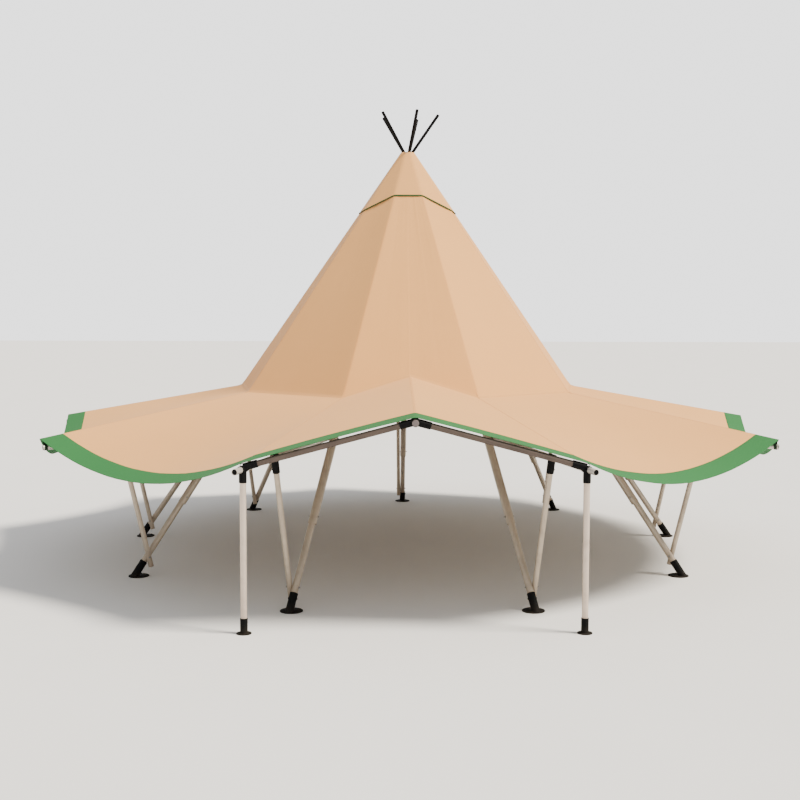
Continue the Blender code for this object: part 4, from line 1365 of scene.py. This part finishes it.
def with_lifts(name, points, edges, lifts):
    """Mesh of points or lines that carries a direction at each point."""
    mesh = bpy.data.meshes.new(name)
    mesh.from_pydata([tuple(point) for point in points], edges, [])
    layer = mesh.attributes.new("lift", "FLOAT_VECTOR", "POINT")
    layer.data.foreach_set("vector", np.array(lifts, float).ravel())
    return mesh


def stitches(name, lines, material, slot):
    """Stitches along rows of points, each given with a second row above it."""
    points, edges, lifts = [], [], []
    for row, above in lines:
        edges += [(len(points) + k, len(points) + k + 1) for k in range(len(row) - 1)]
        points += [*row]
        lifts += [*(above - row) * 100]
    made = grown(with_lifts(name, points, edges, lifts), STITCH, Pitch=0.018, Length=0.011,
                 Width=0.0022, Height=0.0012, Material=material)
    return piece(name, on_axis(made), material, slot, sharp=0)


seam_stitches = stitches("seam_stitches", seam_lines, CANVAS_THREAD, "canvas")
border_lines = [[sample(columns_at(width)[None], UPPER + BAND + lift)[0] for lift in (0.0, 0.01)]
                for width in (border_width - 0.008, border_width - 0.020, 0.018)]
border_stitches = stitches("border_stitches", border_lines, GREEN_THREAD, "border")

# %% [markdown]
# ## The cap
# A separate cap of the same canvas covers the tip, and its hem is raised at the entrance side.
# It follows the same nine-sided cone a few millimetres out, and flutes a little towards its hem.

# %% Build the cap
CAP_CANVAS = cloth_material("tan_cap_canvas", (0.785, 0.397, 0.130), (0.686, 0.326, 0.098), 1400,
                            0.30)
CAP_TOP_Z, CAP_HEM_Z, CAP_HEM_FRONT_Z, CAP_ROWS, CAP_COLUMNS = 5.970, 5.078, 5.277, 26, 14
CAP_UPPER, CAP_UNDER, FLUTE = 0.0040, 0.0020, 0.0022
HEM_HEIGHTS = np.array((CAP_HEM_FRONT_Z, *[CAP_HEM_Z] * (BAYS - 2), CAP_HEM_FRONT_Z))


def cap_row(heights, lift):
    """Closed row round the cap, with its corners rounded over the cone's."""
    corners = [around(cone_radius(height) + lift * FACET_OFFSET, bearing, height)
               for height, bearing in zip(heights, BEARINGS)]
    row = []
    for k, here in enumerate(corners):
        before, after = corners[k - 1], corners[(k + 1) % BAYS]
        reach = min(CORNER_REACH, 0.3 * np.linalg.norm(after - here))
        start, flat = here + unit(before - here) * reach, here + unit(after - here) * reach
        end = after + unit(here - after) * reach
        row += [bezier(start, here, flat, np.array(t)) for t in (0.0, 0.25, 0.5, 0.75)]
        row += [flat + (end - flat) * t for t in np.linspace(0, 1, CAP_COLUMNS, endpoint=False)]
    return np.array([*row, row[0]])


def cap_rows(lift):
    """Grid of the cap, lifted off the cone's outer face."""
    grid = []
    for share in np.linspace(0, 1, CAP_ROWS):
        row = cap_row(CAP_TOP_Z + (HEM_HEIGHTS - CAP_TOP_Z) * share, lift)
        wave = np.array([noise.noise((p[0] * 4, p[1] * 4, p[2] * 2.5 + 3)) for p in row])
        grid.append(row + unit(row * (1, 1, 0)) * (FLUTE * share * (wave + 1))[:, None])
    return np.array(grid)


cap_upper, cap_under = cap_rows(CAP_UPPER), cap_rows(CAP_UNDER)
cap = central("cap_cloth", [two_faced(cap_upper, cap_under)], CAP_CANVAS, "cap_canvas",
              "canopy_cap", sharp=60)

# %% [markdown]
# The hem carries a dark green piping, a cord wrapped in cloth. It is swept along the hem as a
# flattened round, higher than it is thick, and a row of stitches runs just above it.

# %% Add the piping and its stitches
CAP_PIPING = cloth_material("dark_green_piping", (0.008, 0.075, 0.026), (0.006, 0.052, 0.018),
                            900, 0.4, 0.0)
HALF_HEIGHT, HALF_DEPTH, STAND_OUT = 0.0115, 0.0045, 0.0022
hem = ((cap_upper[-1] + cap_under[-1]) / 2)[:-1]
up_way, out_way = across_path(hem, (cap_upper[-2] - cap_upper[-1])[:-1])
turns = np.linspace(0, 2 * math.pi, 15)[None, :, None]
piping = (hem[:, None] + HALF_HEIGHT * np.cos(turns) * up_way[:, None]
          + (HALF_DEPTH * np.sin(turns) + STAND_OUT) * out_way[:, None])
cap_piping = central("cap_piping", [closed(piping)], CAP_PIPING, "border", sharp=60)
cap_line = [rows[-2] * 0.6 + rows[-1] * 0.4 for rows in (cap_upper, cap_rows(CAP_UPPER + 0.01))]
cap_stitches = stitches("cap_stitches", [cap_line], CANVAS_THREAD, "canvas")

# %% [markdown]
# ## Straps at the tips
# Each tip of the brim is held down to its arm by a loop of webbing. The loop's path is worked
# out as a belt: straight from the tip to the tube, round the tube's underside, and back. A
# narrower one ties the gable's peak to the ridge tube, and its top leans back to the cloth.

# %% Build the tip straps
WEBBING = cloth_material("dark_green_webbing", (0.006, 0.020, 0.008), (0.004, 0.012, 0.005), 700,
                         0.4, 0.0)
CLEAR, TIP_INSET, TIP_DROP, RIDGE_INSET, RIDGE_DROP = 0.0005, 0.060, 0.012, 0.013, 0.007
TIP_WEB, RIDGE_WEB, RIDGE_LEAN, LEAN_HEIGHT = 0.0027, 0.0023, 0.016, 0.03


def belt(peak, centre, radius, count):
    """Closed path of a belt from a point, round a circle below it, in two coordinates."""
    peak, centre = np.array(peak), np.array(centre)
    way = centre - peak
    angle = math.atan2(way[1], way[0]) + math.pi
    half = math.acos(radius / np.linalg.norm(way))
    arc = [centre + radius * np.array((math.cos(a), math.sin(a)))
           for a in np.linspace(angle + half, angle - half + 2 * math.pi, count)]
    return np.array([peak, *arc, peak])


def webbing(inner, outer, half_width, place):
    """Flat loop between two belt paths. place finds a point of it in space."""
    loop = [(inner, -half_width), (outer, -half_width), (outer, half_width),
            (inner, half_width), (inner, -half_width)]
    rows = np.array([[place(x, z, side) for x, z in path] for path, side in loop])
    return mesh_of("strap", (rows, cloth_uvs(rows)), sharp=50)


def tip_strap():
    """Loop of webbing at a tip, beside the leg at bearing zero."""
    radius, fold_radius = TIP_RADIUS - TIP_INSET, cone_radius(FOLD_Z)
    share = (radius - fold_radius) / (TIP_RADIUS - fold_radius)
    peak = FOLD_Z + (TIP_Z - FOLD_Z) * share - TIP_DROP
    centre = arm_point(radius, 1)[[0, 2]]
    paths = [belt((0.0, peak + gap), centre, ARM_RADIUS + gap, 22) for gap in (CLEAR, TIP_WEB)]
    return webbing(*paths, 0.019, lambda x, z, side: (x, side - radius, z))


def ridge_strap():
    """Loop of webbing that ties the gable's peak to the front end of the ridge tube."""
    y, peak = front[1] + RIDGE_INSET, GABLE_PEAK_Z - RIDGE_DROP
    centre = ridge_point(y)[[0, 2]]
    paths = [belt((0.0, peak + gap), centre, RIDGE_RADIUS + gap, 26)
             for gap in (CLEAR, RIDGE_WEB)]
    return webbing(*paths, 0.010, lambda x, z, side: (
        x, y + side + RIDGE_LEAN * max(0, 1 - (peak - z) / LEAN_HEIGHT), z))


straps = merged("tip_straps", ring_of(tip_strap(), WEBBING, 1, BAYS - 2),
                on_axis(ridge_strap()))
piece("tip_straps", straps, WEBBING, "border", sharp=50)

# %% [markdown]
# ## Bolts
# Through-bolts join the arms and struts to the legs and set the telescopes, and set screws hold
# the fittings. Geometry Nodes puts a hexagon head with a washer on every point of a list, turned
# to the direction stored with the point, and spun by a seeded random angle. The head's top is a
# flat cone, which is how a real one is chamfered.

# %% Make the bolt tree
WASHER, CHAMFER, SIXTH_TURN = 0.0025, 0.0014, 1.047
BOLT, given, out = geometry_tree("bolt_heads", Across_Corners="Float", Head_Height="Float",
                                 Washer_Radius="Float", Stub="Float", Seed="Int")


def lifted(solid, height):
    """Move a solid up."""
    return node(BOLT, "GeometryNodeTransform", {"Geometry": solid,
                                                "Translation": joined_xyz(BOLT, Z=height)})


def disc(radius, depth, sides, base):
    """Add a round or many-sided solid that stands on a height."""
    solid = node(BOLT, "GeometryNodeMeshCylinder", {"Vertices": sides, "Radius": radius,
                                                    "Depth": depth})
    return lifted(solid, calc(BOLT, "MULTIPLY_ADD", depth, 0.5, base))


radius = calc(BOLT, "MULTIPLY", given["Across Corners"], 0.5)
chamfer = node(BOLT, "GeometryNodeMeshCone",
               {"Vertices": 6, "Radius Top": calc(BOLT, "MULTIPLY", radius, 0.80),
                "Radius Bottom": radius, "Depth": CHAMFER})
bolt = node(BOLT, "GeometryNodeJoinGeometry")
for part in (lifted(chamfer, calc(BOLT, "ADD", given["Head Height"], WASHER)),
             disc(radius, given["Head Height"], 6, WASHER),
             disc(given["Washer Radius"], WASHER, 20, 0.0),
             disc(calc(BOLT, "MULTIPLY", radius, 0.5), given["Stub"], 14, WASHER)):
    BOLT.links.new(part.outputs[0], bolt.inputs[0])
lift = node(BOLT, "GeometryNodeInputNamedAttribute", {"Name": "lift"}, data_type="FLOAT_VECTOR")
faced = node(BOLT, "FunctionNodeAlignRotationToVector", {"Vector": lift}, axis="Z")
chance = node(BOLT, "FunctionNodeRandomValue", {"Seed": given["Seed"]}, data_type="FLOAT")
spin = joined_xyz(BOLT, Z=calc(BOLT, "MULTIPLY", chance.outputs[1], SIXTH_TURN))
turned_by = node(BOLT, "FunctionNodeEulerToRotation", {"Euler": spin})
rotation = node(BOLT, "FunctionNodeRotateRotation", {"Rotation": faced, "Rotate By": turned_by},
                rotation_space="LOCAL")
placed = node(BOLT, "GeometryNodeInstanceOnPoints", {"Points": given["Geometry"],
                                                     "Instance": bolt, "Rotation": rotation})
finish_tree(BOLT, placed, given, out)
print("bolt tree:", len(BOLT.nodes), "nodes")

# %% [markdown]
# Where a bolt goes follows from what it joins. The crossing of an arm and its leg is found by
# repeating a small sum, because the arm drops and the leg leans. Each through-bolt has a head on
# one side and a nut with a bit of thread on the other.

# %% Find the bolts of a bay
ZINC = metal_material("zinc_bolt", 0.80, (0.300, 0.290, 0.280), (0.200, 0.190, 0.180), 0.38)
LOCK_Z, PINCH_Z, STRUT_SCREW, ARM_SCREW, THREAD = 1.03, 0.140, 0.150, 0.035, 0.016


def bolts(name, places, material, across=0.020, height=0.0065, washer=0.0135, stub=0.001):
    """Bolt heads at (point, direction) pairs."""
    points, ways = zip(*places)
    return grown(with_lifts(name, points, [], ways), BOLT, Across_Corners=across,
                 Head_Height=height, Washer_Radius=washer, Stub=stub, Seed=7, Material=material)


def crossing(hand):
    """Point on an arm's axis that lies level with the axis of its leg."""
    radius = 2.9
    for _ in range(20):
        point = arm_point(radius, hand)
        radius = -leg_point(point[2])[1]
    return point


def bay_bolts(hand):
    """Heads, nuts and black set screws of one bay."""
    out_x = np.array((hand, 0, 0), float)
    cross = crossing(hand)
    top, down = strut_line(hand)
    foot = top + down * ((STRUT_BOLT_Z - top[2]) / down[2])
    lock, pinch = leg_point(LOCK_Z), leg_point(PINCH_Z) + shift
    heads = [(cross + out_x * ARM_RADIUS, out_x), (foot + out_x * STRUT_RADIUS, out_x),
             (lock + out_x * LEG_RADIUS, out_x)]
    nuts = [(cross * (0, 1, 1) - out_x * LEG_RADIUS, -out_x),
            (lock - out_x * LEG_RADIUS, -out_x),
            (foot * (0, 1, 1) - out_x * FOOT_TUBE_RADIUS, -out_x)]
    screws = [(top + down * STRUT_SCREW + out_x * TEE_RADIUS, out_x),
              (top + ARM_AXIS * ARM_SCREW + out_x * TEE_RADIUS, out_x),
              (pinch + out_x * BOOT_RADIUS, out_x), (pinch - out_x * BOOT_RADIUS, -out_x)]
    return (bolts("bay_heads", heads, ZINC), bolts("bay_nuts", nuts, ZINC, stub=THREAD),
            bolts("bay_screws", screws, BLACK))


zinc_bolts, black_bolts = [], []
for hand, first, count in ((1, 0, BAYS - 1), (-1, BAYS - 1, 1)):
    heads, nuts, screws = bay_bolts(hand)
    zinc_bolts += [ring_of(heads, ZINC, first, count), ring_of(nuts, ZINC, first, count)]
    black_bolts.append(ring_of(screws, BLACK, first, count))

# %% [markdown]
# The entrance's fittings have a set screw in front for each post and rafter they hold. Each
# boot's round plate is fixed by three low heads, whose coat is as dusty as the plate's.

# %% Place the rest of the bolts
POST_SCREW, RAFTER_FOOT_SCREW, RAFTER_PEAK_SCREW, POST_FOOT_SCREW_Z = 0.115, 0.130, 0.135, 0.10
entrance = []
for hand in (1, -1):
    top = post_top(hand)
    foot, peak, up = rafter_line(hand)
    entrance += [(point + FORTH * radius, FORTH) for point, radius in (
        (top + DOWN * POST_SCREW, FITTING_RADIUS),
        (foot + up * RAFTER_FOOT_SCREW, FITTING_RADIUS),
        (peak - up * RAFTER_PEAK_SCREW, FITTING_RADIUS),
        (np.array((top[0], top[1], POST_FOOT_SCREW_Z)), POST_FOOT_RADIUS))]
black_bolts.append(on_axis(bolts("entrance_bolts", entrance, BLACK, 0.016, 0.005, 0.011)))
piece("leg_bolts", merged("leg_bolts", *zinc_bolts), ZINC, "bolt")
piece("fitting_bolts", merged("fitting_bolts", *black_bolts), BLACK, "fitting")
PLATE_CIRCLE = 0.108
plate_places = [((PLATE_CIRCLE * math.sin(a), -PLATE_CENTRE - PLATE_CIRCLE * math.cos(a),
                  PLATE_THICKNESS), UP) for a in (0.0, 2.2, -2.2)]
plate_bolts = bolts("plate_bolts", plate_places, BOOT, 0.0175, 0.0055, 0.012)
piece("plate_bolts", ring_of(plate_bolts, BOOT), BOOT, "boot")

# %% [markdown]

# %% [markdown]
# ## The studio
# The floor is plain and pale, with the faintest mottle, so that it catches the shadows of the
# canopy and nothing else draws the eye.

# %% Lay the floor
floor_mesh = bpy.data.meshes.new("studio_floor")
floor_mesh.from_pydata([(-150, -150, 0), (150, -150, 0), (150, 150, 0), (-150, 150, 0)], [],
                       [(0, 1, 2, 3)])
floor = new_object("studio_floor", floor_mesh)
floor_paint, tree, shader, coords = blank("pale_floor", Roughness=0.9, Specular_IOR_Level=0.2)
mottle = noise_at(tree, coords["Object"], 0.6, 3.0)
send(tree, shader.inputs,
     Base_Color=blend(tree, mottle, (0.80, 0.79, 0.78, 1), (0.84, 0.83, 0.82, 1)))
floor_mesh.materials.append(floor_paint)
print("floor:", floor.name)

# %% [markdown]
# ## Light
# A soft warm key light comes from high on the right, as the photograph's shading shows, and a
# pale even sky fills the shadows. What the camera sees of the sky is brighter than what lights
# the canopy, which keeps the white backdrop of the photograph without washing out the cloth.

# %% Light the scene
key_data = bpy.data.lights.new("key", "SUN")
key_data.energy, key_data.angle, key_data.color = 7.0, math.radians(16), (1.0, 0.925, 0.80)
key = new_object("key", key_data)
key.location = (16.2, -4.5, 22.5)
key.rotation_euler = Vector((-1.40, 0.36, -1.80)).to_track_quat("-Z", "Y").to_euler()
world = bpy.data.worlds.new("pale_sky")
world.use_nodes = True
tree = world.node_tree
sky = tree.nodes["Background"]
sky.inputs["Color"].default_value = (0.98, 0.985, 1.0, 1)
sky.inputs["Strength"].default_value = 0.85
backdrop = node(tree, "ShaderNodeBackground", {"Color": (1.0, 1.0, 1.0, 1), "Strength": 2.3})
rays = node(tree, "ShaderNodeLightPath")
shown = node(tree, "ShaderNodeMixShader", {0: rays.outputs["Is Camera Ray"], 1: sky, 2: backdrop})
send(tree, tree.nodes["World Output"].inputs, Surface=shown)
bpy.context.scene.world = world
print("key light:", key_data.energy, "W per square metre")

# %% [markdown]
# ## Camera
# The camera was solved from the photograph: it stands above the brim, a little left of the
# entrance, and looks slightly down.

# %% Set the camera
camera_data = bpy.data.cameras.new("camera")
camera_data.lens, camera_data.sensor_width = 51.295, 36.0
camera_data.clip_end = 500
camera = new_object("camera", camera_data)
camera.matrix_world = (Matrix.Translation((-0.33, -17.379 + AXIS_Y, 3.5))
                       @ Matrix.Rotation(math.radians(-0.739), 4, "Z")
                       @ Matrix.Rotation(math.radians(90 - 4.142), 4, "X")
                       @ Matrix.Rotation(math.radians(0.14), 4, "Z"))
bpy.context.scene.camera = camera
print("the camera is", round(camera.matrix_world.translation.length, 1), "m from the origin")

# %% Write the sizes and finish
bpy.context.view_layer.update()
total = 0
for obj in PIECES:
    obj.data.calc_loop_triangles()
    total += len(obj.data.loop_triangles)
print("pieces:", len(PIECES), "triangles:", total)
